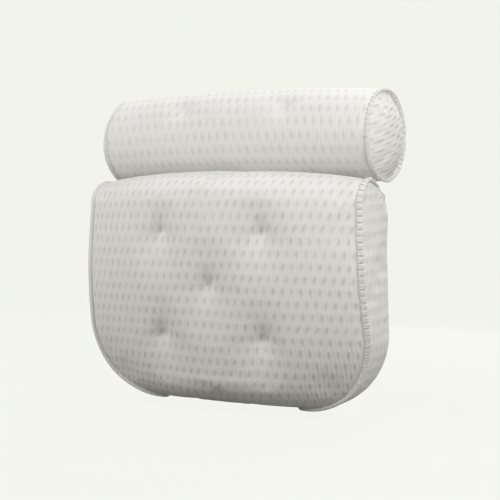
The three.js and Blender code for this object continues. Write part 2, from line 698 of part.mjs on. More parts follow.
/** The fibre filling, with blunt ends that follow the end panels. */
function rollCore() {
  const rings = ringsAlong(CORE_HALF).map((x) => rollRing(x, COVER_WALL + GAP));
  const tips = [rings[0], rings.at(-1)].map((ring) =>
    ring.map(([x, y, z]) => [x + Math.sign(x) * CAP_DOME * 0.7, y * 0.5, z * 0.5]),
  );
  const pockets = ROLL_CUPS.map(([, x]) =>
    rodAlongY(EYELET_RADIUS + HEAD_POCKET, x, 0, ROLL_HEAD_Y - HEAD_POCKET, 2 * ROLL_RADIUS, EYELET_SIDES),
  );
  return cut(loftTube([tips[0], ...rings, tips[1]]), [...rollThreadHoles(), ...pockets]);
}

/** The bound seam round the right end, standing on the cover's edge and spreading outwards. */
function rollBinding() {
  const middle = ROLL_RADIUS - ROLL_DRAW_IN - COVER_WALL / 2;
  const spread = RING_FLARE * BINDING_HEIGHT;
  const foot = HALF_ROLL + GAP;
  const half = BINDING_THICK / 2;
  const profile = [
    [middle - half, foot],
    [middle + half, foot],
    [middle + half + spread, foot + BINDING_HEIGHT * 0.85],
    [middle + spread, foot + BINDING_HEIGHT],
    [middle - half + spread, foot + BINDING_HEIGHT * 0.85],
    [middle - half, foot],
  ];
  return turnedAboutX(profile, RING_SIDES);
}

function rollThread(x) {
  const front = -rollRadius(x, ROLL_TUFT_ANGLE, 0) - GAP;
  return alongTuft(threadBetween(front, rollRadius(x, ROLL_TUFT_ANGLE + 180, 0) + GAP), x);
}

// Suction cups and eyelets, made along +Y with the face they are fitted to at y = 0

/** A one-piece eyelet that grips a wall between its two flanges. */
function eyelet(wall, seat) {
  const [front, back] = [-wall - seat, seat];
  const barrel = EYELET_BORE + EYELET_BARREL;
  return turned(
    [
      [EYELET_BORE, front - EYELET_FLANGE],
      [EYELET_RADIUS, front - EYELET_FLANGE],
      [EYELET_RADIUS, front],
      [barrel, front],
      [barrel, back],
      [EYELET_RADIUS, back],
      [EYELET_RADIUS, back + EYELET_FLANGE],
      [EYELET_BORE, back + EYELET_FLANGE],
      [EYELET_BORE, front - EYELET_FLANGE],
    ],
    EYELET_SIDES,
  );
}

/** A suction cup whose headed neck goes through an eyelet: its lip is CUP_STANDOFF behind the wall. */
function suctionCup(wall, seat) {
  const headBack = -wall - seat - EYELET_FLANGE - GAP;
  const shoulder = seat + EYELET_FLANGE + GAP;
  const hollow = CUP_STANDOFF - CUP_HOLLOW;
  const skirt = (share) => lerp(CUP_SHOULDER_RADIUS, CUP_RADIUS, Math.sin((share * Math.PI) / 2) ** 0.9);
  const steps = [0, 0.25, 0.5, 0.75];
  const rim = CUP_STANDOFF - CUP_EDGE;
  const outside = steps.map((s) => [skirt(s), lerp(shoulder + CUP_SHOULDER_RISE, rim, s ** 1.35)]);
  const inside = [1, 0.8, 0.55, 0.3].map((s) => [
    (CUP_RADIUS - CUP_LIP) * s,
    lerp(hollow, CUP_STANDOFF, s ** 2.2),
  ]);
  return turned(
    [
      [0, headBack - CUP_HEAD_LENGTH],
      [CUP_HEAD_RADIUS * 0.7, headBack - CUP_HEAD_LENGTH],
      [CUP_HEAD_RADIUS, headBack - CUP_HEAD_LENGTH * 0.5],
      [CUP_HEAD_RADIUS, headBack],
      [CUP_NECK_RADIUS, headBack],
      [CUP_NECK_RADIUS, shoulder],
      [CUP_SHOULDER_RADIUS, shoulder],
      ...outside,
      [CUP_RADIUS, rim],
      [CUP_RADIUS, CUP_STANDOFF],
      ...inside,
      [0, hollow],
    ],
    CUP_SIDES,
  );
}

// On the round roll an eyelet's flat flanges stand off by the cover's curve under them.
const ROLL_CUP_Y = rollRadius(ROLL_CUP_SPACING_X / 2, 0, 0);
const ROLL_EYELET_SEAT = ROLL_CUP_Y - Math.sqrt(ROLL_CUP_Y ** 2 - EYELET_RADIUS ** 2) + GAP;
const ROLL_INNER = ROLL_CUP_Y - COVER_WALL;
const ROLL_EYELET_GRIP = COVER_WALL + ROLL_INNER - Math.sqrt(ROLL_INNER ** 2 - EYELET_RADIUS ** 2);
const ROLL_HEAD_Y = ROLL_CUP_Y - ROLL_EYELET_GRIP - ROLL_EYELET_SEAT - EYELET_FLANGE - GAP - CUP_HEAD_LENGTH;

// Assembly

function buildPad() {
  const pad = new THREE.Group();
  pad.add(named("pad_cover", padCover(), AIR_MESH));
  pad.add(named("pad_back_panel", padBackPanel(), BACK_MESH));
  for (const [side, word] of [[-1, "left"], [1, "right"]]) {
    pad.add(named(`pad_gusset_${word}`, padGusset(side), AIR_MESH));
    pad.add(named(`pad_binding_${word}`, padBinding(side), BINDING_TAPE));
  }
  for (const [word, layer] of padCore()) pad.add(named(`pad_core_${word}`, layer, SPACER_MESH));
  for (const [word, x, z] of PAD_TUFTS) pad.add(named(`pad_tuft_${word}`, padThread(x, z), THREAD));
  for (const [word, x, z] of PAD_CUPS) {
    const ring = named(`pad_eyelet_${word}`, eyelet(PANEL_WALL, GAP), EYELET_PLASTIC);
    const cup = named(`pad_cup_${word}`, suctionCup(PANEL_WALL, GAP), CLEAR_PVC);
    ring.position.set(x, PAD_BACK_Y, z);
    cup.position.set(x, PAD_BACK_Y, z);
    pad.add(ring, cup);
  }
  pad.add(named("hinge_strip", hingeStrip(), BINDING_TAPE));
  return pad;
}

function buildRoll() {
  const roll = new THREE.Group();
  roll.position.set(0, HINGE_Y, ROLL_Z);
  roll.add(named("roll_cover", rollCover(), AIR_MESH));
  roll.add(named("roll_core", rollCore(), FIBRE_FILL));
  for (const [turn, word] of [[Math.PI, "left"], [0, "right"]]) {
    const panel = named(`roll_end_panel_${word}`, rollEndPanel(), AIR_MESH);
    const binding = named(`roll_binding_${word}`, rollBinding(), BINDING_TAPE);
    panel.rotation.z = turn;
    binding.rotation.z = turn;
    roll.add(panel, binding);
  }
  for (const [word, x] of ROLL_TUFTS) roll.add(named(`roll_tuft_${word}`, rollThread(x), THREAD));
  for (const [word, x] of ROLL_CUPS) {
    const ring = named(`roll_eyelet_${word}`, eyelet(ROLL_EYELET_GRIP, ROLL_EYELET_SEAT), EYELET_PLASTIC);
    const cup = named(`roll_cup_${word}`, suctionCup(ROLL_EYELET_GRIP, ROLL_EYELET_SEAT), CLEAR_PVC);
    ring.position.set(x, ROLL_CUP_Y, 0);
    cup.position.set(x, ROLL_CUP_Y, 0);
    roll.add(ring, cup);
  }
  return roll;
}

const pillow = new THREE.Group();
pillow.add(buildPad(), buildRoll());

export default pillow;
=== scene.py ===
"""A white air-mesh bath pillow: a tufted back pad, a neck roll on a hinge strip and six suction cups.

Sizes are in millimetres in the classes and become metres where a mesh is made. The frame is that of
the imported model: +X to the right seen from the front, +Y into the bath wall and +Z up.
"""

from __future__ import annotations

import json
import logging
import math
from dataclasses import dataclass, field
from enum import Enum
from typing import Any, Sequence

import bpy
import numpy as np
from mathutils import Matrix, Vector

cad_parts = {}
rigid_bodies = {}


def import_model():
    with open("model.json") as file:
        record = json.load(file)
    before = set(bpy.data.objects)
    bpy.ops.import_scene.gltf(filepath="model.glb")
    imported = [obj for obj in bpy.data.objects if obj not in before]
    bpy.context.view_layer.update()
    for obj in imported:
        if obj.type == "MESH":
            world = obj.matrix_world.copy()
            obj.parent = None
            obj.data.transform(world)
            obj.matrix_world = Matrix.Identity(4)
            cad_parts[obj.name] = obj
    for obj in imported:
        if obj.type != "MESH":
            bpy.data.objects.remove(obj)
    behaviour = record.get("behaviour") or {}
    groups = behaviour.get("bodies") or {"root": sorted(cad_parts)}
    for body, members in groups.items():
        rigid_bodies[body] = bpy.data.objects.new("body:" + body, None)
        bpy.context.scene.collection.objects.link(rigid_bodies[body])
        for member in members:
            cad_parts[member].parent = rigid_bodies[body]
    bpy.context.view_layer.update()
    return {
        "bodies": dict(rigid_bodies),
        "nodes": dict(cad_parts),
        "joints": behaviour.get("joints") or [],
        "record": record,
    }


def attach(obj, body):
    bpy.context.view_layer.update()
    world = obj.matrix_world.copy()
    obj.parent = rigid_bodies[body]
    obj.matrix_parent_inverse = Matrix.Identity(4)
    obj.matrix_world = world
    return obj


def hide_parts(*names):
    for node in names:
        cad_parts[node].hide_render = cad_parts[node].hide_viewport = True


LOG = logging.getLogger("bath_pillow")
MM = 0.001
MATH = "ShaderNodeMath"
VECTOR_MATH = "ShaderNodeVectorMath"
WAVE_BANDS = 3.2  # bands in one unit of the wave texture at a scale of 1
OFF_AXIS = (0.31, 0.57, 0.76)  # a direction that no thread runs in


class Side(Enum):
    """The two sides of the pillow, seen from the front."""

    LEFT = -1
    RIGHT = 1

    @property
    def word(self) -> str:
        """The side's name inside a piece's name."""
        return self.name.lower()


# Helpers for nodes and meshes


def linear(hex_colour: str) -> tuple[float, float, float, float]:
    """Turns an sRGB hex colour into linear values.

    Args:
        hex_colour: a colour such as "#e6e4df".

    Returns:
        Linear red, green and blue, and an alpha of 1.
    """
    parts = [int(hex_colour[i : i + 2], 16) / 255 for i in (1, 3, 5)]
    red, green, blue = (c / 12.92 if c <= 0.04045 else ((c + 0.055) / 1.055) ** 2.4 for c in parts)
    return red, green, blue, 1.0


def add_node(
    tree: bpy.types.NodeTree,
    kind: str,
    settings: dict[str, Any] | None = None,
    inputs: dict[str | int, Any] | None = None,
) -> bpy.types.Node:
    """Adds a node, sets its properties and fills its inputs.

    Args:
        tree: the node tree.
        kind: Blender's name of the node type.
        settings: properties of the node itself.
        inputs: values by socket name or number; a socket as the value makes a link.

    Returns:
        The new node.
    """
    node = tree.nodes.new(kind)
    for key, value in (settings or {}).items():
        setattr(node, key, value)
    fill_inputs(tree, node, inputs or {})
    return node


def fill_inputs(tree: bpy.types.NodeTree, node: bpy.types.Node, inputs: dict[str | int, Any]) -> None:
    """Sets or links a node's inputs.

    Args:
        tree: the node tree.
        node: the node.
        inputs: values by socket name or number; a socket as the value makes a link.
    """
    for key, value in inputs.items():
        if isinstance(value, bpy.types.NodeSocket):
            tree.links.new(value, node.inputs[key])
        else:
            node.inputs[key].default_value = value


def wave_scale(spacing: float) -> float:
    """Gives the wave texture's scale for bands at a spacing in millimetres."""
    return 1.0 / (spacing * MM) / WAVE_BANDS


def new_material(name: str) -> tuple[bpy.types.Material, bpy.types.NodeTree, bpy.types.Node]:
    """Makes a material with one Principled shader.

    Args:
        name: the material's name.

    Returns:
        The material, its node tree and its shader.
    """
    material = bpy.data.materials.new(name)
    material.use_nodes = True
    tree = material.node_tree
    return material, tree, tree.nodes["Principled BSDF"]


def finish_in_tones(
    tree: bpy.types.NodeTree,
    shader: bpy.types.Node,
    pattern: bpy.types.NodeSocket,
    tones: tuple[str, str],
    height: bpy.types.NodeSocket,
    relief: tuple[float, float],
    values: dict[str, Any],
) -> None:
    """Colours a shader between two tones and gives it a fine relief.

    Args:
        tree: the material's nodes.
        shader: its shader.
        pattern: where the tones are, from 0 for the first to 1 for the second.
        tones: the two sRGB hex colours.
        height: height of the relief, from 0 to 1.
        relief: the bump's strength, and the height in millimetres that 1 stands for.
        values: the shader's other inputs.
    """
    first, second = (linear(tone) for tone in tones)
    mix = {"Factor": pattern, "A": first, "B": second}
    colour = add_node(tree, "ShaderNodeMix", {"data_type": "RGBA"}, mix).outputs["Result"]
    strength, reach = relief
    bump = {"Height": height, "Strength": strength, "Distance": reach * MM}
    normal = add_node(tree, "ShaderNodeBump", inputs=bump).outputs[0]
    fill_inputs(tree, shader, {"Base Color": colour, "Normal": normal, **values})


def grid_faces(rows: int, columns: int, start: int = 0, around: bool = False) -> list[tuple[int, ...]]:
    """Lists the quads of a grid of points.

    Args:
        rows: rows of points.
        columns: points in a row.
        start: number of the grid's first point.
        around: whether the last column joins the first.

    Returns:
        Quads that face out where columns run right and rows run up, seen from outside.
    """
    faces = []
    for row in range(rows - 1):
        for column in range(columns if around else columns - 1):
            a = start + row * columns + column
            b = start + row * columns + (column + 1) % columns
            faces.append((a, b, b + columns, a + columns))
    return faces


def mesh_piece(
    name: str,
    points: np.ndarray,
    faces: Sequence[Sequence[int]],
    materials: Sequence[bpy.types.Material] = (),
    uv: np.ndarray | None = None,
    slots: Sequence[int] | None = None,
) -> bpy.types.Object:
    """Makes a smooth-shaded mesh object.

    Args:
        name: the object's name.
        points: corners in millimetres, one row each.
        faces: corner numbers of each face.
        materials: the object's materials.
        uv: place of each corner on the flat cloth, in millimetres.
        slots: material number of each face.

    Returns:
        The linked object.
    """
    mesh = bpy.data.meshes.new(name)
    mesh.from_pydata((np.asarray(points) * MM).tolist(), [], [tuple(f) for f in faces])
    if uv is not None:
        corners = np.empty(len(mesh.loops), dtype=np.int32)
        mesh.loops.foreach_get("vertex_index", corners)
        places = (uv[corners] * MM).astype(np.float32).ravel()
        mesh.uv_layers.new(name="cloth").data.foreach_set("uv", places)
    for material in materials:
        mesh.materials.append(material)
    if slots is not None:
        mesh.polygons.foreach_set("material_index", list(slots))
    mesh.polygons.foreach_set("use_smooth", [True] * len(mesh.polygons))
    mesh.update()
    piece = bpy.data.objects.new(name, mesh)
    bpy.context.scene.collection.objects.link(piece)
    return piece


def soften(piece: bpy.types.Object, levels: int = 1) -> None:
    """Adds a subdivision surface to a piece."""
    subdivision = piece.modifiers.new("soften", "SUBSURF")
    subdivision.levels = levels
    subdivision.render_levels = levels


def set_on(piece: bpy.types.Object, body: str, slot: str, *nodes: str) -> None:
    """Sets a piece on a body in the place of its solids.

    Args:
        piece: the piece.
        body: the body that carries it.
        slot: the name of a material slot in the record; not used.
        nodes: the solids that it replaces.
    """
    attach(piece, body)
    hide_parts(*nodes)
    LOG.info("%s rides on %s", piece.name, body)


def thread_tube(spots: np.ndarray, radius: float, sides: int) -> np.ndarray:
    """Gives the points of a thread along a few spots.

    Args:
        spots: points along the thread.
        radius: the thread's radius.
        sides: points round it.

    Returns:
        The thread's points, ring by ring.
    """
    ways = np.gradient(spots, axis=0)
    ways /= np.linalg.norm(ways, axis=1, keepdims=True)
    rings = []
    for spot, way in zip(spots, ways):
        first = np.cross(way, OFF_AXIS)
        first /= np.linalg.norm(first)
        second = np.cross(way, first)
        turn = np.linspace(0, 2 * math.pi, sides, endpoint=False)[:, None]
        rings.append(spot + radius * (np.cos(turn) * first + np.sin(turn) * second))
    return np.concatenate(rings)


def along(points: np.ndarray, axis: int, zero: int) -> np.ndarray:
    """Measures lengths along one axis of a grid of points.

    Args:
        points: a grid of points, rows by columns by 3.
        axis: 0 to measure along the columns, 1 along the rows.
        zero: index on that axis where the length is 0.

    Returns:
        A length for each point of the grid.
    """
    steps = np.linalg.norm(np.diff(points, axis=axis), axis=2)
    first = np.zeros_like(np.take(steps, [0], axis=axis))
    total = np.concatenate([first, np.cumsum(steps, axis=axis)], axis=axis)
    return total - np.take(total, [zero], axis=axis)


@dataclass(frozen=True)
class Stuffing:
    """How hard a filling presses on its cover, and how slack the cover was cut."""

    pressure: float = 2.5
    slack: float = 0.003
    bending: float = 12.0  # air mesh is thick, so it bends in wide curves
    frames: int = 20
    cap: float = 3.0  # furthest that a point may move, mm

    def settle(self, points: np.ndarray, faces: Sequence[Sequence[int]], held: Sequence[int]) -> np.ndarray:
        """Lets a cover settle over its filling as simulated cloth.

        Args:
            points: the cover's points in millimetres.
            faces: its faces.
            held: numbers of the points that are sewn down.

        Returns:
            The settled points in millimetres.
        """
        scene = bpy.context.scene
        cover = mesh_piece("settling_cover", points, faces)
        cover.vertex_groups.new(name="sewn").add(list(held), 1.0, "REPLACE")
        cloth = cover.modifiers.new("settle", "CLOTH")
        cloth.point_cache.frame_start = 1
        cloth.point_cache.frame_end = self.frames
        settings = cloth.settings
        settings.quality = 6
        settings.mass = 0.25
        settings.tension_stiffness = 20
        settings.compression_stiffness = 20
        settings.shear_stiffness = 8
        settings.bending_stiffness = self.bending
        settings.air_damping = 4
        settings.vertex_group_mass = "sewn"
        settings.shrink_min = -self.slack
        settings.use_pressure = True
        settings.uniform_pressure_force = self.pressure
        settings.effector_weights.gravity = 0
        cloth.collision_settings.use_collision = False
        for frame in range(1, self.frames + 1):
            scene.frame_set(frame)
        posed = cover.evaluated_get(bpy.context.evaluated_depsgraph_get())
        settled = np.empty(len(points) * 3, dtype=np.float32)
        posed.data.vertices.foreach_get("co", settled)
        settled = settled.reshape(-1, 3) / MM
        mesh = cover.data
        bpy.data.objects.remove(cover)
        bpy.data.meshes.remove(mesh)
        scene.frame_set(1)
        move = settled - points
        length = np.linalg.norm(move, axis=1, keepdims=True)
        return points + move * np.minimum(1.0, self.cap / np.maximum(length, 1e-6))


# Finishes


@dataclass(frozen=True)
class AirMesh:
    """Polyester air mesh, knitted: a soft matt face with staggered rows of upright dents, darkened with
    painted shade.
    """

    name: str = "polyester_air_mesh_knitted"
    face: str = "#f5f4f1"
    faded: str = "#efeeea"
    # painted shade: the colour that the dents are darkened towards
    dent: str = "#9a927e"
    dent_pitch: float = 10.7  # dent to dent along a row
    row_pitch: float = 13.9
    dent_width: float = 4.3
    dent_height: float = 10.2
    lean: float = 0.22  # the dents lean to the right by this slope
    top_heavy: float = 0.45  # a dent is this much deeper and more darkly painted with shade at its top, and shallower and paler at its foot
    open_least: float = 0.55  # the least open dent, as a share of the most open one
    open_most: float = 1.0
    yarn: float = 1.8  # knitted wales; drawn about twice as coarse so that they show
    turn: float = 0.0  # degrees that the cloth is turned on the piece
    wander: tuple[float, float] = (4.0, 3.0)  # how far the rows wander across and up
    depth: float = 1.1  # of a dent; the heights below are shares of it
    ribs: float = 0.12  # plump ribs between the dents of a row
    swell: float = 0.1  # plump bands between the rows
    wales: float = 0.09
    shade: float = 0.27  # how much of the painted dent shade a full dent takes

    def build(self) -> bpy.types.Material:
        """Makes the material from the piece's flat-cloth coordinates."""
        material, tree, shader = new_material(self.name)
        place = add_node(tree, "ShaderNodeUVMap", {"uv_map": "cloth"}).outputs[0]
        turned = add_node(
            tree,
            "ShaderNodeVectorRotate",
            {"rotation_type": "Z_AXIS"},
            {"Vector": place, "Angle": math.radians(self.turn)},
        ).outputs[0]
        # Sewn cloth is never quite straight, so the rows wander a little.
        noise = add_node(
            tree, "ShaderNodeTexNoise", {"noise_dimensions": "2D"}, {"Vector": turned, "Scale": 14.0}
        ).outputs["Color"]
        centred = add_node(tree, VECTOR_MATH, {"operation": "SUBTRACT"}, {0: noise, 1: (0.5,) * 3}).outputs[0]
        reach = (self.wander[0] * MM, self.wander[1] * MM, 0.0)
        drift = add_node(
            tree, VECTOR_MATH, {"operation": "MULTIPLY_ADD"}, {0: centred, 1: reach, 2: turned}
        ).outputs[0]
        split = add_node(tree, "ShaderNodeSeparateXYZ", inputs={0: drift})
        rows = add_node(
            tree, MATH, {"operation": "DIVIDE"}, {0: split.outputs["Y"], 1: self.row_pitch * MM}
        ).outputs[0]
        row = add_node(tree, MATH, {"operation": "FLOOR"}, {0: rows}).outputs[0]
        in_row = add_node(tree, MATH, {"operation": "FRACT"}, {0: rows}).outputs[0]
        up = add_node(tree, MATH, {"operation": "SUBTRACT"}, {0: in_row, 1: 0.5}).outputs[0]
        odd = add_node(tree, MATH, {"operation": "FLOORED_MODULO"}, {0: row, 1: 2.0}).outputs[0]
        shift = add_node(tree, MATH, {"operation": "MULTIPLY"}, {0: odd, 1: 0.5}).outputs[0]
        columns = add_node(
            tree,
            MATH,
            {"operation": "MULTIPLY_ADD"},
            {0: split.outputs["X"], 1: 1.0 / (self.dent_pitch * MM), 2: shift},
        ).outputs[0]
        column = add_node(tree, MATH, {"operation": "FLOOR"}, {0: columns}).outputs[0]
        in_column = add_node(tree, MATH, {"operation": "FRACT"}, {0: columns}).outputs[0]
        across = add_node(tree, MATH, {"operation": "SUBTRACT"}, {0: in_column, 1: 0.5}).outputs[0]
        cell = add_node(tree, "ShaderNodeCombineXYZ", inputs={"X": column, "Y": row}).outputs[0]
        chance = add_node(
            tree, "ShaderNodeTexWhiteNoise", {"noise_dimensions": "2D"}, {"Vector": cell}
        ).outputs["Value"]
        dent = self.dents(tree, across, up)
        openness = add_node(
            tree,
            "ShaderNodeMapRange",
            inputs={"Value": chance, "To Min": self.open_least, "To Max": self.open_most},
        ).outputs[0]
        opened = add_node(tree, MATH, {"operation": "MULTIPLY"}, {0: dent, 1: openness}).outputs[0]
        height = self.relief(tree, opened, across, up, drift)
        bump = add_node(
            tree, "ShaderNodeBump", inputs={"Height": height, "Strength": 0.6, "Distance": self.depth * MM}
        ).outputs[0]
        # Cloth soils and fades unevenly, by a few per cent.
        cloud = add_node(
            tree,
            "ShaderNodeTexNoise",
            {"noise_dimensions": "2D"},
            {"Vector": place, "Scale": 22.0, "Detail": 3.0},
        ).outputs["Fac"]
        tint = add_node(
            tree,
            "ShaderNodeMix",
            {"data_type": "RGBA"},
            {"Factor": cloud, "A": linear(self.face), "B": linear(self.faded)},
        ).outputs["Result"]
        # Painted shade: each dent is darkened towards the dent shade colour, most where it is deepest.
        shade = add_node(tree, MATH, {"operation": "MULTIPLY"}, {0: opened, 1: self.shade}).outputs[0]
        colour = add_node(
            tree, "ShaderNodeMix", {"data_type": "RGBA"}, {"Factor": shade, "A": tint, "B": linear(self.dent)}
        ).outputs["Result"]
        matt = {"Roughness": 0.88, "IOR": 1.45, "Specular IOR Level": 0.25, "Sheen Weight": 0.08}
        fill_inputs(tree, shader, {"Base Color": colour, "Normal": bump, **matt})
        return material

    def dents(
        self, tree: bpy.types.NodeTree, across: bpy.types.NodeSocket, up: bpy.types.NodeSocket
    ) -> bpy.types.NodeSocket:
        """Draws one soft-edged dent in each cell of the cloth.

        Args:
            tree: the material's nodes.
            across: place across the cell, from -0.5 to 0.5.
            up: place up the cell, from -0.5 to 0.5.

        Returns:
            1 in the middle of a dent and 0 outside it.
        """
        leaning = add_node(
            tree,
            MATH,
            {"operation": "MULTIPLY_ADD"},
            {0: up, 1: -self.lean * self.row_pitch / self.dent_pitch, 2: across},
        ).outputs[0]
        wide = add_node(
            tree, MATH, {"operation": "MULTIPLY"}, {0: leaning, 1: 2 * self.dent_pitch / self.dent_width}
        ).outputs[0]
        high = add_node(
            tree, MATH, {"operation": "MULTIPLY"}, {0: up, 1: 2 * self.row_pitch / self.dent_height}
        ).outputs[0]
        both = add_node(tree, "ShaderNodeCombineXYZ", inputs={"X": wide, "Y": high}).outputs[0]
        reach = add_node(tree, VECTOR_MATH, {"operation": "LENGTH"}, {0: both}).outputs["Value"]
        spot = add_node(
            tree,
            "ShaderNodeMapRange",
            {"interpolation_type": "SMOOTHSTEP"},
            {"Value": reach, "From Min": 1.5, "From Max": 0.0},
        ).outputs[0]
        weight = add_node(
            tree, MATH, {"operation": "MULTIPLY_ADD"}, {0: high, 1: self.top_heavy, 2: 1.0}
        ).outputs[0]
        return add_node(
            tree, MATH, {"operation": "MULTIPLY", "use_clamp": True}, {0: spot, 1: weight}
        ).outputs[0]

    def relief(
        self,
        tree: bpy.types.NodeTree,
        opened: bpy.types.NodeSocket,
        across: bpy.types.NodeSocket,
        up: bpy.types.NodeSocket,
        drift: bpy.types.NodeSocket,
    ) -> bpy.types.NodeSocket:
        """Adds up the cloth's height: dents, plump ribs between them, and knitted wales over all.

        Args:
            tree: the material's nodes.
            opened: how deep the dent is here.
            across: place across the cell.
            up: place up the cell.
            drift: place on the flat cloth.

        Returns:
            The height, where 1 is the depth of a dent.
        """
        round_turn = 2 * math.pi
        side_angle = add_node(
            tree, MATH, {"operation": "MULTIPLY"}, {0: across, 1: 2 * round_turn}
        ).outputs[0]
        ribs = add_node(tree, MATH, {"operation": "COSINE"}, {0: side_angle}).outputs[0]
        row_angle = add_node(tree, MATH, {"operation": "MULTIPLY"}, {0: up, 1: round_turn}).outputs[0]
        swell = add_node(tree, MATH, {"operation": "COSINE"}, {0: row_angle}).outputs[0]
        wales = add_node(
            tree,
            "ShaderNodeTexWave",
            {"wave_type": "BANDS", "bands_direction": "X"},
            {"Vector": drift, "Scale": wave_scale(self.yarn), "Distortion": 1.5, "Detail": 1.0},
        ).outputs["Fac"]
        height = add_node(tree, MATH, {"operation": "MULTIPLY"}, {0: ribs, 1: -self.ribs}).outputs[0]
        for wave, size in ((swell, -self.swell), (wales, self.wales), (opened, -1.0)):
            height = add_node(
                tree, MATH, {"operation": "MULTIPLY_ADD"}, {0: wave, 1: size, 2: height}
            ).outputs[0]
        return height


@dataclass(frozen=True)
class WovenTape:
    """Polyester binding tape, woven: a tight twill with a faint gloss."""

    name: str = "polyester_tape_woven"
    face: str = "#f1f0ed"
    shade: str = "#e2dfda"
    thread: float = 1.1  # rib spacing

    def build(self) -> bpy.types.Material:
        """Makes the material from object coordinates, as the tape turns all ways."""
        material, tree, shader = new_material(self.name)
        place = add_node(tree, "ShaderNodeTexCoord").outputs["Object"]
        twill = add_node(
            tree,
            "ShaderNodeTexWave",
            {"wave_type": "BANDS", "bands_direction": "DIAGONAL"},
            {"Vector": place, "Scale": wave_scale(self.thread), "Distortion": 0.8, "Detail": 1.0},
        ).outputs["Fac"]
        cloud = add_node(
            tree, "ShaderNodeTexNoise", inputs={"Vector": place, "Scale": 60.0, "Detail": 2.0}
        ).outputs["Fac"]
        mixed = add_node(tree, MATH, {"operation": "MULTIPLY"}, {0: twill, 1: cloud}).outputs[0]
        gloss = {"Roughness": 0.72, "Sheen Weight": 0.1}
        finish_in_tones(tree, shader, mixed, (self.face, self.shade), twill, (0.35, 0.3), gloss)
        return material


@dataclass(frozen=True)
class PlainMesh:
    """Polyester net, knitted: the plain back cloth, with small round holes darkened with painted shade."""

    name: str = "polyester_net_knitted"
    face: str = "#dedcd6"
    # painted shade in the holes
    hole: str = "#9d9b94"
    pitch: float = 4.5
    hole_size: float = 1.7

    def build(self) -> bpy.types.Material:
        """Makes the material from object coordinates across the flat back."""
        material, tree, shader = new_material(self.name)
        place = add_node(tree, "ShaderNodeTexCoord").outputs["Object"]
        flat = add_node(
            tree, VECTOR_MATH, {"operation": "MULTIPLY"}, {0: place, 1: (1.0, 0.0, 1.0)}
        ).outputs[0]
        cells = add_node(
            tree,
            "ShaderNodeTexVoronoi",
            {"feature": "F1"},
            {"Vector": flat, "Scale": 1.0 / (self.pitch * MM), "Randomness": 0.12},
        ).outputs["Distance"]
        hole = add_node(
            tree,
            "ShaderNodeMapRange",
            {"interpolation_type": "SMOOTHSTEP"},
            {"Value": cells, "From Min": self.hole_size / self.pitch, "From Max": 0.15},
        ).outputs[0]
        height = add_node(tree, MATH, {"operation": "MULTIPLY"}, {0: hole, 1: -1.0}).outputs[0]
        # Painted shade: the holes take a darker grey than the face.
        tones = (self.face, self.hole)
        finish_in_tones(tree, shader, hole, tones, height, (0.5, 0.6), {"Roughness": 0.9})
        return material


@dataclass(frozen=True)
class SpunThread:
    """Polyester thread, spun and twisted: smooth, a little brighter than the cloth."""

    name: str = "polyester_thread_spun"
    face: str = "#f3f1ec"
    # painted shade in the grooves between the plies
    groove: str = "#e2dfd8"
    twist: float = 1.2  # spacing of the plies

    def build(self) -> bpy.types.Material:
        """Makes the material with the thread's twist as a fine bump and painted shade in its grooves."""
        material, tree, shader = new_material(self.name)
        place = add_node(tree, "ShaderNodeTexCoord").outputs["Object"]
        twist = add_node(
            tree,
            "ShaderNodeTexWave",
            {"wave_type": "BANDS", "bands_direction": "DIAGONAL"},
            {"Vector": place, "Scale": wave_scale(self.twist)},
        ).outputs["Fac"]
        tones = (self.groove, self.face)
        finish_in_tones(tree, shader, twist, tones, twist, (0.3, 0.2), {"Roughness": 0.6})
        return material


@dataclass(frozen=True)
class OpenFill:
    """Polyester filling, spun into a springy open net: seen only where a cover is opened."""

    name: str = "polyester_spacer_spun"
    face: str = "#d8dad8"
    # painted shade in the gaps between the strands
    gap: str = "#b7bab8"
    strand: float = 3.0

    def build(self) -> bpy.types.Material:
        """Makes the material as a tangle of strands with painted shade between them, in object coordinates.
        """
        material, tree, shader = new_material(self.name)
        place = add_node(tree, "ShaderNodeTexCoord").outputs["Object"]
        tangle = add_node(
            tree,
            "ShaderNodeTexNoise",
            inputs={"Vector": place, "Scale": 1.0 / (self.strand * MM), "Detail": 4.0},
        ).outputs["Fac"]
        # Painted shade: the gaps between the strands are darker.
        tones = (self.gap, self.face)
        finish_in_tones(tree, shader, tangle, tones, tangle, (0.8, 1.0), {"Roughness": 0.9})
        return material


@dataclass(frozen=True)
class ClearPVC:
    """Soft PVC, moulded: clear with a cool tint, glossy, faintly rippled by the mould."""

    name: str = "soft_pvc_moulded"
    tint: str = "#e3eceb"

    def build(self) -> bpy.types.Material:
        """Makes the material with a slow ripple in its gloss."""
        material, tree, shader = new_material(self.name)
        place = add_node(tree, "ShaderNodeTexCoord").outputs["Object"]
        ripple = add_node(
            tree, "ShaderNodeTexNoise", inputs={"Vector": place, "Scale": 90.0, "Detail": 1.0}
        ).outputs["Fac"]
        rough = add_node(
            tree, "ShaderNodeMapRange", inputs={"Value": ripple, "To Min": 0.08, "To Max": 0.2}
        ).outputs[0]
        bump = add_node(
            tree, "ShaderNodeBump", inputs={"Height": ripple, "Strength": 0.08, "Distance": 0.5 * MM}
        ).outputs[0]
        clear = {"Base Color": linear(self.tint), "IOR": 1.53, "Transmission Weight": 0.82}
        fill_inputs(tree, shader, {"Roughness": rough, "Normal": bump, **clear})
        return material


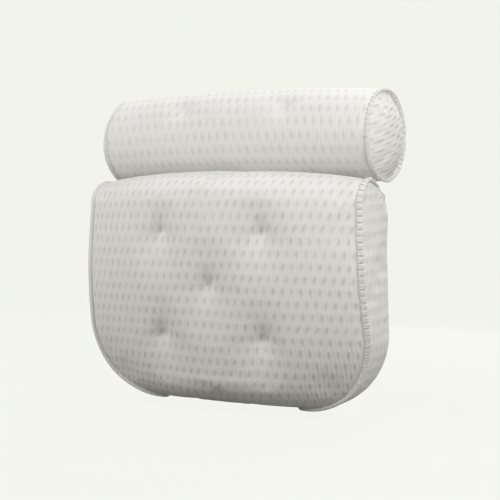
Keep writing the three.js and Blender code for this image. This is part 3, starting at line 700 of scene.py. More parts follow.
@dataclass(frozen=True)
class MouldedPP:
    """Polypropylene, moulded: white, satin, with a fine spark texture."""

    name: str = "polypropylene_moulded"
    face: str = "#ebebe8"
    # painted shade in the low spots of the mould texture
    pit: str = "#dfdfdb"
    spark: float = 0.9

    def build(self) -> bpy.types.Material:
        """Makes the material with its mould texture as bump, roughness and painted shade in its pits."""
        material, tree, shader = new_material(self.name)
        place = add_node(tree, "ShaderNodeTexCoord").outputs["Object"]
        grain = add_node(
            tree,
            "ShaderNodeTexNoise",
            inputs={"Vector": place, "Scale": 1.0 / (self.spark * MM), "Detail": 2.0},
        ).outputs["Fac"]
        rough = add_node(
            tree, "ShaderNodeMapRange", inputs={"Value": grain, "To Min": 0.34, "To Max": 0.5}
        ).outputs[0]
        satin = {"Roughness": rough, "IOR": 1.49}
        finish_in_tones(tree, shader, grain, (self.pit, self.face), grain, (0.1, 0.2), satin)
        return material


@dataclass
class Finishes:
    """Every material of the pillow, made once."""

    cover: bpy.types.Material = field(default_factory=AirMesh().build)
    taut: bpy.types.Material = field(
        default_factory=AirMesh(
            name="polyester_air_mesh_taut", dent_width=5.4, lean=0.12, open_least=0.35, open_most=0.75
        ).build
    )
    side: bpy.types.Material = field(
        default_factory=AirMesh(
            name="polyester_air_mesh_stretched",
            dent_width=8.0,
            lean=0.1,
            open_least=0.2,
            open_most=0.5,
            turn=-6.0,
            swell=0.22,
        ).build
    )
    end: bpy.types.Material = field(
        default_factory=AirMesh(
            name="polyester_air_mesh_turned", dent_height=15.0, lean=0.0, top_heavy=0.0, turn=70.0
        ).build
    )
    back: bpy.types.Material = field(default_factory=PlainMesh().build)
    tape: bpy.types.Material = field(default_factory=WovenTape().build)
    thread: bpy.types.Material = field(default_factory=SpunThread().build)
    spacer: bpy.types.Material = field(default_factory=OpenFill().build)
    fibre: bpy.types.Material = field(
        default_factory=OpenFill(name="polyester_fibre_carded", face="#f2f2ef", strand=5.0).build
    )
    cup: bpy.types.Material = field(default_factory=ClearPVC().build)
    eyelet: bpy.types.Material = field(default_factory=MouldedPP().build)


# Shared sewing work


@dataclass
class BoundSeam:
    """A seam whose allowances stand out as a flange under a whip-stitched tape."""

    height: float = 8.0
    thick: float = 3.0
    foot: float = 0.2
    waist: float = 0.35  # share of the height where the flange is at its full thickness
    uneven: float = 0.03  # share by which the height wanders
    stitched: bool = True
    stitch_pitch: float = 7.2
    stitch_radius: float = 0.6
    stitch_foot: float = 0.12  # share of the height where a stitch enters the cloth
    stitch_slant: float = 1.8  # along the seam from one face to the other
    stitch_sides: int = 5
    pull: float = 1.1  # a stitch draws the free edge in this much
    pinch: float = 0.6  # and makes the flange this share thinner
    start_taper: float = 5.0  # length over which an open seam's start rises
    end_taper: float = 62.0  # and its end falls to nothing
    tail: float = 0.5  # share of the height left where an open seam starts
    tail_growth: float = 150.0  # length over which it grows to the full height
    tail_length: float = 88.0  # an open seam's start has no stitches over this length
    tail_fade: float = 20.0  # and they draw it in more and more over this one
    flat: float = 0.4  # share of the height left where a closed seam lies flattest
    flat_middle: float = 116.0  # length along the seam of that place
    flat_reach: float = 62.0  # and how far it goes either way
    sample: float = 1.2  # spacing of the flange's sections

    def section(self) -> np.ndarray:
        """Gives the flange's outline as (outwards, across) pairs, round at its free edge."""
        half = self.thick / 2
        turn = np.linspace(-math.pi / 2, math.pi / 2, 7)
        edge = np.stack([self.height - half + half * np.cos(turn), half * np.sin(turn)], axis=1)
        waist = self.height * self.waist
        below = [[self.foot, -half * 0.8], [waist, -half]]
        return np.array([*below, *edge, [waist, half], [self.foot, half * 0.8]])

    def build(
        self,
        name: str,
        path: np.ndarray,
        out: np.ndarray,
        across: np.ndarray,
        around: bool,
        finishes: Finishes,
    ) -> bpy.types.Object:
        """Makes the flange along a path, with its stitches.

        Args:
            name: the piece's name.
            path: points along the seam.
            out: direction in which the flange stands at each point.
            across: direction over its thickness at each point.
            around: whether the path closes on itself.
            finishes: the pillow's materials.

        Returns:
            The flange with its stitches as one piece.
        """
        section = self.section()
        path, out, across, lengths = self.sampled(path, out, across, around)
        count = len(path)
        rise = self.rise(lengths, around)
        spread = np.minimum(1.0, 0.35 + rise) * (1 - self.pinch * self.drawn(lengths, around) ** 2)
        points = (
            path[:, None, :]
            + out[:, None, :] * (section[None, :, 0:1] * rise[:, None, None])
            + across[:, None, :] * (section[None, :, 1:2] * spread[:, None, None])
        )
        ring = section.shape[0]
        corner = np.arange(count * ring).reshape(count, ring)
        rows = range(count if around else count - 1)
        faces = []
        for r in rows:
            for c in range(ring):
                far_row, far = (r + 1) % count, (c + 1) % ring
                faces.append((corner[r, c], corner[r, far], corner[far_row, far], corner[far_row, c]))
        if not around:
            faces += [tuple(corner[0, ::-1]), tuple(corner[-1])]
        if not self.stitched:
            return mesh_piece(name, points.reshape(-1, 3), faces, [finishes.tape])
        stitches, stitch_faces = self.stitches(path, out, across, lengths, around)
        start = count * ring
        faces += [tuple(start + i for i in f) for f in stitch_faces]
        slots = [0] * (len(faces) - len(stitch_faces)) + [1] * len(stitch_faces)
        everything = np.concatenate([points.reshape(-1, 3), stitches])
        return mesh_piece(name, everything, faces, [finishes.tape, finishes.thread], slots=slots)

    def sampled(
        self, path: np.ndarray, out: np.ndarray, across: np.ndarray, around: bool
    ) -> tuple[np.ndarray, np.ndarray, np.ndarray, np.ndarray]:
        """Takes the seam's path at even, close spacing.

        Args:
            path: points along the seam.
            out: outward direction at each point.
            across: direction over the thickness at each point.
            around: whether the path closes on itself.

        Returns:
            The path, both directions, and the length along the path at each new point.
        """
        ways = (path, out, across)
        if around:
            ways = tuple(np.concatenate([values, values[:1]]) for values in ways)
        reach = np.concatenate([[0], np.cumsum(np.linalg.norm(np.diff(ways[0], axis=0), axis=1))])
        count = int(reach[-1] / self.sample)
        lengths = np.linspace(0, reach[-1], count, endpoint=not around)
        even = [
            np.stack([np.interp(lengths, reach, values[:, i]) for i in range(3)], axis=1) for values in ways
        ]
        return (*even, lengths)

    def drawn(self, lengths: np.ndarray, around: bool) -> np.ndarray:
        """Gives 1 where a stitch draws the flange in, and 0 between stitches or without them."""
        if not self.stitched:
            return np.zeros_like(lengths)
        wave = 0.5 + 0.5 * np.cos(2 * math.pi * lengths / self.stitch_pitch)
        return wave if around else wave * np.clip((lengths - self.tail_length) / self.tail_fade, 0, 1)

    def rise(self, lengths: np.ndarray, around: bool) -> np.ndarray:
        """Gives the flange's height along the seam, as a share of its full height.

        Args:
            lengths: length along the path at each point.
            around: whether the path closes on itself.

        Returns:
            A share for each point: scalloped between the stitches, low at an open end and where a
            closed seam lies flat.
        """
        scallop = 1 - self.pull / self.height * self.drawn(lengths, around)
        uneven = scallop * (1 + self.uneven * np.sin(lengths / 11.0))
        if around:
            away = np.clip(np.abs(lengths - self.flat_middle) / self.flat_reach, 0, 1)
            return uneven * (1 - (1 - self.flat) * np.cos(away * math.pi / 2) ** 2)
        ends = np.minimum(lengths / self.start_taper, (lengths[-1] - lengths) / self.end_taper)
        grown = self.tail + (1 - self.tail) * np.clip(lengths / self.tail_growth, 0, 1)
        return uneven * grown * np.sqrt(np.clip(ends, 0.02, 1))

    def stitches(
        self, path: np.ndarray, out: np.ndarray, across: np.ndarray, lengths: np.ndarray, around: bool
    ) -> tuple[np.ndarray, list[tuple[int, ...]]]:
        """Makes the thread loops that pass over the flange's free edge.

        Args:
            path: points along the seam.
            out: outward direction at each point.
            across: direction over the thickness at each point.
            lengths: length along the path at each point.
            around: whether the path closes on itself.

        Returns:
            The loops' points and faces.
        """
        half = self.thick / 2 + self.stitch_radius * 0.4
        turn = np.linspace(-math.pi / 2, math.pi / 2, 5)
        over = np.stack([self.height - self.thick / 2 + half * np.cos(turn), half * np.sin(turn)], axis=1)
        low = self.height * self.stitch_foot
        loop = np.array([[low, -half], [low + 1.8, -half], *over, [low + 1.8, half], [low, half]])
        slant = np.linspace(-0.5, 0.5, len(loop)) * self.stitch_slant
        points: list[np.ndarray] = []
        faces: list[tuple[int, ...]] = []
        bare = (0.0, 0.5 * self.stitch_pitch) if around else (self.tail_length, 0.5 * self.end_taper)
        places = np.arange(self.stitch_pitch, lengths[-1] - bare[1], self.stitch_pitch)
        rise = self.rise(lengths, around)
        for number, place in enumerate(places[places > bare[0]]):
            wobble = 0.3 * math.sin(number * 2.3)
            spots = []
            for (outwards, sideways), shift in zip(loop, slant):
                at = place + shift + wobble
                base, way, over_way = (
                    np.array([np.interp(at, lengths, values[:, i]) for i in range(3)])
                    for values in (path, out, across)
                )
                spots.append(base + way * outwards * np.interp(place, lengths, rise) + over_way * sideways)
            start = len(points)
            points.extend(thread_tube(np.array(spots), self.stitch_radius, self.stitch_sides))
            loops = grid_faces(len(spots), self.stitch_sides, around=True)
            faces += [tuple(start + i for i in f) for f in loops]
        return np.array(points), faces


def bar_tack(
    name: str, middle: np.ndarray, way: np.ndarray, out: np.ndarray, finishes: Finishes
) -> bpy.types.Object:
    """Makes a tuft's stitch: a few threads side by side, drawn into the cloth at both ends.

    Args:
        name: the piece's name.
        middle: the stitch's middle on the cloth.
        way: direction of the threads.
        out: direction out of the cloth.
        finishes: the pillow's materials.

    Returns:
        The stitch.
    """
    side = np.cross(out, way)
    radius, sides = 0.4, 6
    share = np.linspace(-1, 1, 7)
    points: list[np.ndarray] = []
    faces: list[tuple[int, ...]] = []
    for number, shift in enumerate((-0.7, 0.0, 0.7)):
        reach = 1.9 - 0.3 * abs(shift) + 0.2 * number
        spots = [middle + way * s * reach + side * shift - out * (0.1 + 1.5 * s * s) for s in share]
        start = len(points)
        points.extend(thread_tube(np.array(spots), radius, sides))
        faces += [tuple(start + i for i in f) for f in grid_faces(len(share), sides, around=True)]
    return mesh_piece(name, np.array(points), faces, [finishes.thread])


# Pad


@dataclass
class Pad:
    """The wedge-shaped back pad with its cover, gussets, back, bound seams and tufts."""

    bottom: float = -127.0
    side_height: float = 259.0
    crest_rise: float = 12.0
    width_low: float = 364.0
    width_top: float = 350.0
    corner_radius: float = 84.0
    back: float = -20.0
    thick_top: float = 82.0
    thick_bottom: float = 39.0
    taper_rise: float = 185.0
    thick_mid: float = 107.0
    crown_height: float = 228.0
    crown_radius: float = 880.0
    crown_power: float = 2.4
    nose_side: float = 30.0
    nose_mid: float = 45.0
    top_fall_side: float = 12.0
    top_fall_mid: float = 26.0
    bottom_nose: float = 35.0
    gusset_end: float = 4.0
    gusset_bulge: float = 4.0
    gather: float = 0.8  # height of the small folds at the top of a gusset
    gather_reach: float = 62.0  # from the top down to the point that they fan out from
    gather_counts: tuple[int, int] = (38, 23)  # fine and coarse waves, in radians of wave to one of the fan
    back_corner: float = 26.0  # the top back corners are rounded off over this reach
    corner_ease: float = 0.12  # by this share of it
    shoulder: float = 2.2  # and the filling pushes the edge out below them
    shoulder_drop: float = 20.0
    shoulder_reach: float = 44.0
    tuft_x: float = 67.0
    tuft_top: float = 71.0
    tuft_low: float = -48.0
    tuft_depth: float = 9.5
    tuft_reach: float = 35.0  # above a tuft
    tuft_reach_below: float = 52.0
    tuft_narrow: float = 1.5  # a dimple is taller than it is wide
    tuft_fold: float = 0.3  # height of the folds that a tuft pulls
    tuft_hold: float = 4.0  # a tuft holds the cloth down within this radius
    pinch_depth: float = 2.2
    pinch_reach: float = 3.0
    crease_tilt: float = 28.0  # degrees that a tuft's crease rises to the right
    binding_short: float = 22.0
    binding_lean: float = 0.3  # slope by which the bound seams lean back
    binding_tail: float = 10.0  # they run on this far under the bottom
    tail_lean: float = -1.0  # where they lean forwards
    left_height: float = 7.0  # the left seam stands out less and its stitches don't show
    front_limit: float = -60.0  # the front of the cover is nearer than this depth
    back_inset: float = 0.4  # room between the back cloth and the seams round it
    back_pull: float = 1.6  # the tufts draw the back cloth in this much
    back_pull_reach: float = 22.0
    columns: int = 113
    gusset_columns: int = 29
    back_rows: int = 41
    back_columns: int = 49
    steps: tuple[tuple[str, int], ...] = (
        ("flap", 10),
        ("under", 22),
        ("front", 64),
        ("nose", 16),
        ("top", 14),
    )
    stuffing: Stuffing = Stuffing()

    @property
    def corner_x(self) -> float:
        """Half the width of the bottom flap, where the corners start."""
        return self.width_low / 2 - self.corner_radius

    @property
    def corner_z(self) -> float:
        """Height of the corners' centres."""
        return self.bottom + self.corner_radius

    @property
    def side_top(self) -> float:
        """Height of the top of a side."""
        return self.bottom + self.side_height

    @property
    def crest(self) -> float:
        """Height of the top in the middle."""
        return self.side_top + self.crest_rise

    @property
    def nose_z(self) -> float:
        """Height where the front turns over into the top."""
        return self.side_top - self.nose_side

    @property
    def under_z(self) -> float:
        """Height where the front turns under into the bottom."""
        return self.bottom + self.bottom_nose

    @property
    def tufts(self) -> dict[str, tuple[float, float]]:
        """Place of each tuft across and up the front."""
        middle = (self.tuft_top + self.tuft_low) / 2
        return {
            "upper_left": (-self.tuft_x, self.tuft_top),
            "upper_right": (self.tuft_x, self.tuft_top),
            "centre": (0.0, middle),
            "lower_left": (-self.tuft_x, self.tuft_low),
            "lower_right": (self.tuft_x, self.tuft_low),
        }

    def seam_depth(self, z: float) -> float:
        """Depth of the front seam at a height."""
        share = min(1.0, max(0.0, (z - self.bottom) / self.taper_rise))
        more = (self.thick_top - self.thick_bottom) * math.sin(share * math.pi / 2)
        return self.back - self.thick_bottom - more

    def crown_depth(self, z: float) -> float:
        """Depth of the front in the middle at a height."""
        above = z - self.bottom - self.crown_height
        return self.back - self.thick_mid + above**2 / (2 * self.crown_radius)

    def side_x(self, z: float) -> float:
        """Half width at a height below the top nose."""
        if z > self.corner_z:
            share = (z - self.corner_z) / (self.nose_z - self.corner_z)
            return (self.width_low + (self.width_top - self.width_low) * share) / 2
        return self.corner_x + math.sqrt(self.corner_radius**2 - (z - self.corner_z) ** 2)

    def station(self, zone: str, share: float) -> tuple[np.ndarray, np.ndarray]:
        """Gives one row of the wrap at its right seam and in its middle.

        Args:
            zone: the part of the wrap.
            share: place inside that zone, from 0 to 1.

        Returns:
            The seam's point, and the middle's depth and height.
        """
        turn = share * math.pi / 2
        if zone == "flap":
            under_y = self.crown_depth(self.under_z) + self.bottom_nose
            side_y = self.back + (self.seam_depth(self.bottom) - self.back) * share
            return (
                np.array([self.corner_x, side_y, self.bottom]),
                np.array([self.back + (under_y - self.back) * share, self.bottom]),
            )
        if zone == "under":
            last = math.asin((self.under_z - self.corner_z) / self.corner_radius)
            angle = -math.pi / 2 + (last + math.pi / 2) * share
            z = self.corner_z + self.corner_radius * math.sin(angle)
            x = self.corner_x + self.corner_radius * math.cos(angle)
            under_y = self.crown_depth(self.under_z) + self.bottom_nose
            mid_y = under_y - self.bottom_nose * math.sin(turn)
            return (
                np.array([x, self.seam_depth(z), z]),
                np.array([mid_y, self.under_z - self.bottom_nose * math.cos(turn)]),
            )
        if zone == "front":
            z = self.under_z + (self.nose_z - self.under_z) * share
            return np.array([self.side_x(z), self.seam_depth(z), z]), np.array([self.crown_depth(z), z])
        half = self.width_top / 2
        side_y = self.seam_depth(self.nose_z) + self.nose_side
        mid_y = self.crown_depth(self.nose_z) + self.nose_mid
        if zone == "nose":
            rise = self.crest - self.nose_z
            side_z = self.nose_z + self.nose_side * math.sin(turn)
            return (
                np.array([half, side_y - self.nose_side * math.cos(turn), side_z]),
                np.array([mid_y - self.nose_mid * math.cos(turn), self.nose_z + rise * math.sin(turn)]),
            )
        side_z = self.side_top - self.top_fall_side * share
        return (
            np.array([half, side_y + (self.back - side_y) * share, side_z]),
            np.array([mid_y + (self.back - mid_y) * share, self.crest - self.top_fall_mid * share]),
        )

    def stations(self) -> list[tuple[str, float]]:
        """Lists every row of the wrap as a zone and a place inside it."""
        rows = [(zone, i / count) for zone, count in self.steps for i in range(count)]
        return [*rows, ("top", 1.0)]

    def cover_grid(self) -> np.ndarray:
        """Gives the cover's points, from the flap at the back round to the top's back edge."""
        rows = []
        share = np.linspace(-1, 1, self.columns)
        crown = 1 - np.abs(share) ** self.crown_power
        for zone, s in self.stations():
            seam, middle = self.station(zone, s)
            y = seam[1] + (middle[0] - seam[1]) * crown
            z = seam[2] + (middle[1] - seam[2]) * crown
            x = share * seam[0]
            if zone in ("under", "front", "nose"):
                y = y + self.drawn_in(x, z)
            rows.append(np.stack([x, y, z], axis=1))
        return np.array(rows)

    def drawn_in(self, x: np.ndarray, z: np.ndarray) -> np.ndarray:
        """Gives how far the tufts draw the front in.

        Args:
            x: places across.
            z: heights.

        Returns:
            Depths, with a few pulled folds round each tuft.
        """
        total = np.zeros_like(x)
        for number, (tx, tz) in enumerate(self.tufts.values()):
            away = np.hypot(self.tuft_narrow * (x - tx), z - tz)
            turn = np.arctan2(z - tz, x - tx)
            rising = 0.5 + 0.5 * np.tanh((z - tz) / 6)
            reach = self.tuft_reach_below + (self.tuft_reach - self.tuft_reach_below) * rising
            near = np.clip(1 - away / reach, 0, 1)
            fold = np.cos(3 * turn + 0.8 * number) + 0.5 * np.cos(5 * turn + 1.7 * number)
            folds = self.tuft_fold * fold * near**2 * np.clip(away / 9, 0, 1)
            total = np.maximum(total, self.tuft_depth * near**2 + folds)
        return total

    def pinched(self, x: np.ndarray, z: np.ndarray) -> np.ndarray:
        """Gives how much further each tuft's thread pinches the cloth into a short crease.

        Args:
            x: places across.
            z: heights.

        Returns:
            Depths that fall off fast across the crease and slowly along it.
        """
        total = np.zeros_like(x)
        tilt = math.radians(self.crease_tilt)
        for tx, tz in self.tufts.values():
            lengthways = (x - tx) * math.cos(tilt) + (z - tz) * math.sin(tilt)
            sideways = (z - tz) * math.cos(tilt) - (x - tx) * math.sin(tilt)
            away = np.hypot(lengthways / 2.6, sideways)
            total = np.maximum(total, self.pinch_depth * np.exp(-away / self.pinch_reach))
        return total

    def seam_rows(self) -> list[tuple[str, float]]:
        """Lists the rows of the wrap that have a gusset beside them."""
        return [(zone, s) for zone, s in self.stations() if zone != "flap"]

    def gusset_grid(self) -> np.ndarray:
        """Gives the right gusset's points, from its front seam to the back."""
        rows = self.seam_rows()
        first = next(i for i, (zone, _) in enumerate(rows) if zone == "nose")
        last = self.side_top - self.top_fall_side - self.gusset_end
        grid = []
        for number, (zone, s) in enumerate(rows):
            seam, _ = self.station(zone, s)
            rise = max(0.0, (number - first) / (len(rows) - 1 - first))
            back_z = seam[2] if number < first else self.nose_z + (last - self.nose_z) * rise
            share = np.linspace(0, 1, self.gusset_columns)[:, None]
            room = (self.back - seam[1]) / self.thick_top
            swell = self.gusset_bulge * 4 * share * (1 - share) * room
            sine = min(0.0, max(-1.0, (seam[2] - self.corner_z) / self.corner_radius))
            facing = np.array([math.sqrt(1 - sine**2), 0, sine])
            grid.append(seam + (np.array([seam[0], self.back, back_z]) - seam) * share + swell * facing)
        return np.array(grid)

    def settled(self) -> tuple[np.ndarray, np.ndarray, np.ndarray]:
        """Lets the cover and gussets settle together over the filling.

        Returns:
            The grids of the cover, the right gusset and the left gusset.
        """
        cover = self.cover_grid()
        right = self.gusset_grid()
        left = right[:, ::-1] * np.array([-1, 1, 1])
        rows, columns, _ = cover.shape
        seam_start = rows - right.shape[0]
        width = self.gusset_columns
        size = rows * columns
        faces = grid_faces(rows, columns)
        numbers: dict[Side, np.ndarray] = {}
        points = [cover.reshape(-1, 3)]
        for side, grid, edge, column in (
            (Side.RIGHT, right, 0, columns - 1),
            (Side.LEFT, left, width - 1, 0),
        ):
            # A gusset shares the points of its front edge with the cover.
            table = size + np.arange(right.shape[0] * width).reshape(-1, width)
            size += table.size
            points.append(grid.reshape(-1, 3))
            table[:, edge] = (np.arange(right.shape[0]) + seam_start) * columns + column
            numbers[side] = table
            for r in range(table.shape[0] - 1):
                for c in range(width - 1):
                    faces.append((table[r, c], table[r, c + 1], table[r + 1, c + 1], table[r + 1, c]))
        everything = np.concatenate(points)
        held = [self.tuft_points(cover), self.unused(len(everything), faces)]
        for table in numbers.values():
            held += [table[:, 0], table[:, -1], table[0], table[-1]]
        flap_side = np.arange(seam_start + 1) * columns
        held += [flap_side, flap_side + columns - 1]
        held += [np.arange(columns), np.arange((rows - 1) * columns, rows * columns)]
        moved = self.stuffing.settle(everything, faces, sorted({int(i) for i in np.concatenate(held)}))
        # The pad rests on its bottom, so the cover doesn't swell there.
        above = sum(count for _, count in self.steps[2:]) + 1
        under = slice(0, (rows - above) * columns)
        moved[under, 2] = np.maximum(moved[under, 2], everything[under, 2])
        moved = self.eased_corners(moved)
        return (
            moved[: rows * columns].reshape(rows, columns, 3),
            moved[numbers[Side.RIGHT]],
            moved[numbers[Side.LEFT]],
        )

    def eased_corners(self, points: np.ndarray) -> np.ndarray:
        """Rounds off the two top back corners and fills out the edge below them.

        Args:
            points: points of the cover, the gussets or the back.

        Returns:
            The points, with those near a corner moved.
        """
        eased = points.copy()
        top = self.side_top - self.top_fall_side
        for side in Side:
            corner = np.array([side.value * self.width_top / 2, self.back, top])
            away = np.linalg.norm(points - corner, axis=1) / self.back_corner
            near = np.clip(1 - away**2, 0, 1)[:, None] ** 2
            eased += near * self.back_corner * self.corner_ease * np.array([-side.value, -0.4, -0.7])
            below = corner - np.array([0, 0, self.shoulder_drop])
            away = np.linalg.norm(points - below, axis=1) / self.shoulder_reach
            eased[:, 0] += np.clip(1 - away**2, 0, 1) ** 2 * self.shoulder * side.value
        return eased

    @staticmethod
    def unused(count: int, faces: Sequence[Sequence[int]]) -> np.ndarray:
        """Lists the points that no face uses."""
        used = np.zeros(count, dtype=bool)
        used[np.array(faces).ravel()] = True
        return np.flatnonzero(~used)

    def tuft_points(self, cover: np.ndarray) -> np.ndarray:
        """Gives the numbers of the points that the tufts hold down."""
        flat = cover.reshape(-1, 3)
        front = flat[:, 1] < self.back - self.thick_bottom
        held = []
        for tx, tz in self.tufts.values():
            near = np.hypot(flat[:, 0] - tx, flat[:, 2] - tz) < self.tuft_hold
            held.append(np.flatnonzero(front & near))
        return np.concatenate(held)

    @staticmethod
    def flat_cloth(grid: np.ndarray, zero_row: int, zero_column: int) -> np.ndarray:
        """Gives each point's place on the flat cloth, in millimetres."""
        return np.stack([along(grid, 1, zero_column), along(grid, 0, zero_row)], axis=2).reshape(-1, 2)

    def build(self, finishes: Finishes) -> None:
        """Makes every piece of the pad and sets it on the pad's body.

        Args:
            finishes: the pillow's materials.
        """
        plain = self.cover_grid()
        cover, right, left = self.settled()
        front = [zone in ("under", "front", "nose") for zone, _ in self.stations()]
        cover[front, :, 1] += self.pinched(cover[front, :, 0], cover[front, :, 2])
        spine = plain[:, self.columns // 2]
        behind = 1e3 * (spine[:, 1] > self.front_limit)
        middle = int(np.argmin(np.abs(spine[:, 2] - self.tufts["centre"][1]) + behind))
        uv = self.flat_cloth(plain, middle, self.columns // 2)
        flat = cover.reshape(-1, 3)
        piece = mesh_piece("pad_cover_cloth", flat, grid_faces(*cover.shape[:2]), [finishes.cover], uv)
        set_on(piece, "pad", "air_mesh", "pad_cover")
        soften(piece)
        for side, grid in ((Side.RIGHT, right), (Side.LEFT, left)):
            uv = self.flat_cloth(grid, grid.shape[0] // 2, 0)
            folded = self.gathered(grid, side).reshape(-1, 3)
            faces = grid_faces(*grid.shape[:2])
            gusset = mesh_piece(f"pad_gusset_{side.word}_cloth", folded, faces, [finishes.side], uv)
            set_on(gusset, "pad", "air_mesh", f"pad_gusset_{side.word}")
            soften(gusset)
            self.binding(side, finishes)
        tilt = math.radians(self.crease_tilt)
        way, out = np.array([math.cos(tilt), 0, math.sin(tilt)]), np.array([0, -1.0, 0])
        behind = (flat[:, 1] > self.front_limit) * 1e3
        for name, (tx, tz) in self.tufts.items():
            spot = flat[np.argmin(np.hypot(flat[:, 0] - tx, flat[:, 2] - tz) + behind)]
            stitch = bar_tack(f"pad_tuft_{name}_stitch", spot, way, out, finishes)
            set_on(stitch, "pad", "thread", f"pad_tuft_{name}")
        self.back_panel(finishes)

    def gathered(self, grid: np.ndarray, side: Side) -> np.ndarray:
        """Adds the small folds where a gusset is eased round its top.

        Args:
            grid: the gusset's points, front seam first on the right and last on the left.
            side: which side of the pad.

        Returns:
            The points with folds that fan out from a point inside the gusset, up to its seam.
        """
        share = np.linspace(0, 1, self.gusset_columns)[None, :]
        share = share if side is Side.RIGHT else 1 - share
        middle = np.array([self.back - 0.5 * self.thick_top, self.side_top - self.gather_reach])
        from_middle = grid[:, :, 1:] - middle
        turn = np.arctan2(from_middle[:, :, 1], from_middle[:, :, 0])
        reach = np.linalg.norm(from_middle, axis=2) / self.gather_reach
        near = np.clip(2 * reach - 1, 0, 1) ** 2 * np.clip(turn, 0, 1) * np.clip(share / 0.08, 0, 1)
        fade = np.clip((1 - share) / 0.25, 0, 1)
        fine, coarse = self.gather_counts
        fold = self.gather * near * fade * (np.sin(fine * turn) + 0.5 * np.sin(coarse * turn + 1.0))
        folded = grid.copy()
        folded[:, :, 0] += side.value * fold
        return folded

    def binding(self, side: Side, finishes: Finishes) -> None:
        """Makes the bound seam down one side and round the bottom corner.

        Args:
            side: which side of the pad.
            finishes: the pillow's materials.
        """
        side_y = self.seam_depth(self.nose_z) + self.nose_side
        end = 1 - self.binding_short / (self.back - side_y)
        rows = [(zone, s) for zone, s in self.seam_rows() if zone != "top" or s < end] + [("top", end)]
        path = np.array([self.station(zone, s)[0] for zone, s in rows])
        path = np.concatenate([[path[0] - (self.binding_tail, 0, 0)], path])
        ways = np.gradient(path, axis=0)
        ways /= np.linalg.norm(ways, axis=1, keepdims=True)
        facing = np.zeros_like(path)
        sine = np.clip((path[:, 2] - self.corner_z) / self.corner_radius, -1, 0)
        facing[:, 0] = np.sqrt(1 - sine**2)
        facing[:, 2] = sine
        facing[:, 1] = self.binding_lean + (self.tail_lean - self.binding_lean) * sine**2
        out = facing - ways * np.sum(facing * ways, axis=1, keepdims=True)
        out /= np.linalg.norm(out, axis=1, keepdims=True)
        across = np.cross(ways, out)
        mirror = np.array([side.value, 1, 1])
        plain = BoundSeam(height=self.left_height, stitched=False)
        seam = BoundSeam() if side is Side.RIGHT else plain
        over = across * mirror * -side.value
        name = f"pad_binding_{side.word}"
        piece = seam.build(f"{name}_tape", path * mirror, out * mirror, over, False, finishes)
        set_on(piece, "pad", "binding_tape", name)

    def back_panel(self, finishes: Finishes) -> None:
        """Makes the flat back cloth, drawn in a little at each tuft.

        Args:
            finishes: the pillow's materials.
        """
        rows = []
        low = self.bottom + self.back_inset
        side_edge = self.side_top - self.top_fall_side
        top = (self.crest - self.top_fall_mid) - side_edge
        for share in np.linspace(0, 1, self.back_rows):
            z = low + (side_edge - self.back_inset - low) * share
            half = self.side_x(min(z, self.nose_z)) - self.back_inset if z > low + 0.5 else self.corner_x
            x = np.linspace(-half, half, self.back_columns)
            lift = (1 - np.abs(x / half) ** self.crown_power) * top * share**4
            drawn = np.zeros_like(x)
            for tx, tz in self.tufts.values():
                drawn += np.clip(1 - np.hypot(x - tx, z - tz) / self.back_pull_reach, 0, 1) ** 2
            rows.append(np.stack([x, self.back - 0.2 - self.back_pull * drawn, z + lift], axis=1))
        grid = np.array(rows)
        faces = [f[::-1] for f in grid_faces(*grid.shape[:2])]
        points = self.eased_corners(grid.reshape(-1, 3))
        piece = mesh_piece("pad_back_cloth", points, faces, [finishes.back])
        set_on(piece, "pad", "back_mesh", "pad_back_panel")
        solid = piece.modifiers.new("thickness", "SOLIDIFY")
        solid.thickness = 2 * MM
        solid.offset = -1


# Neck roll


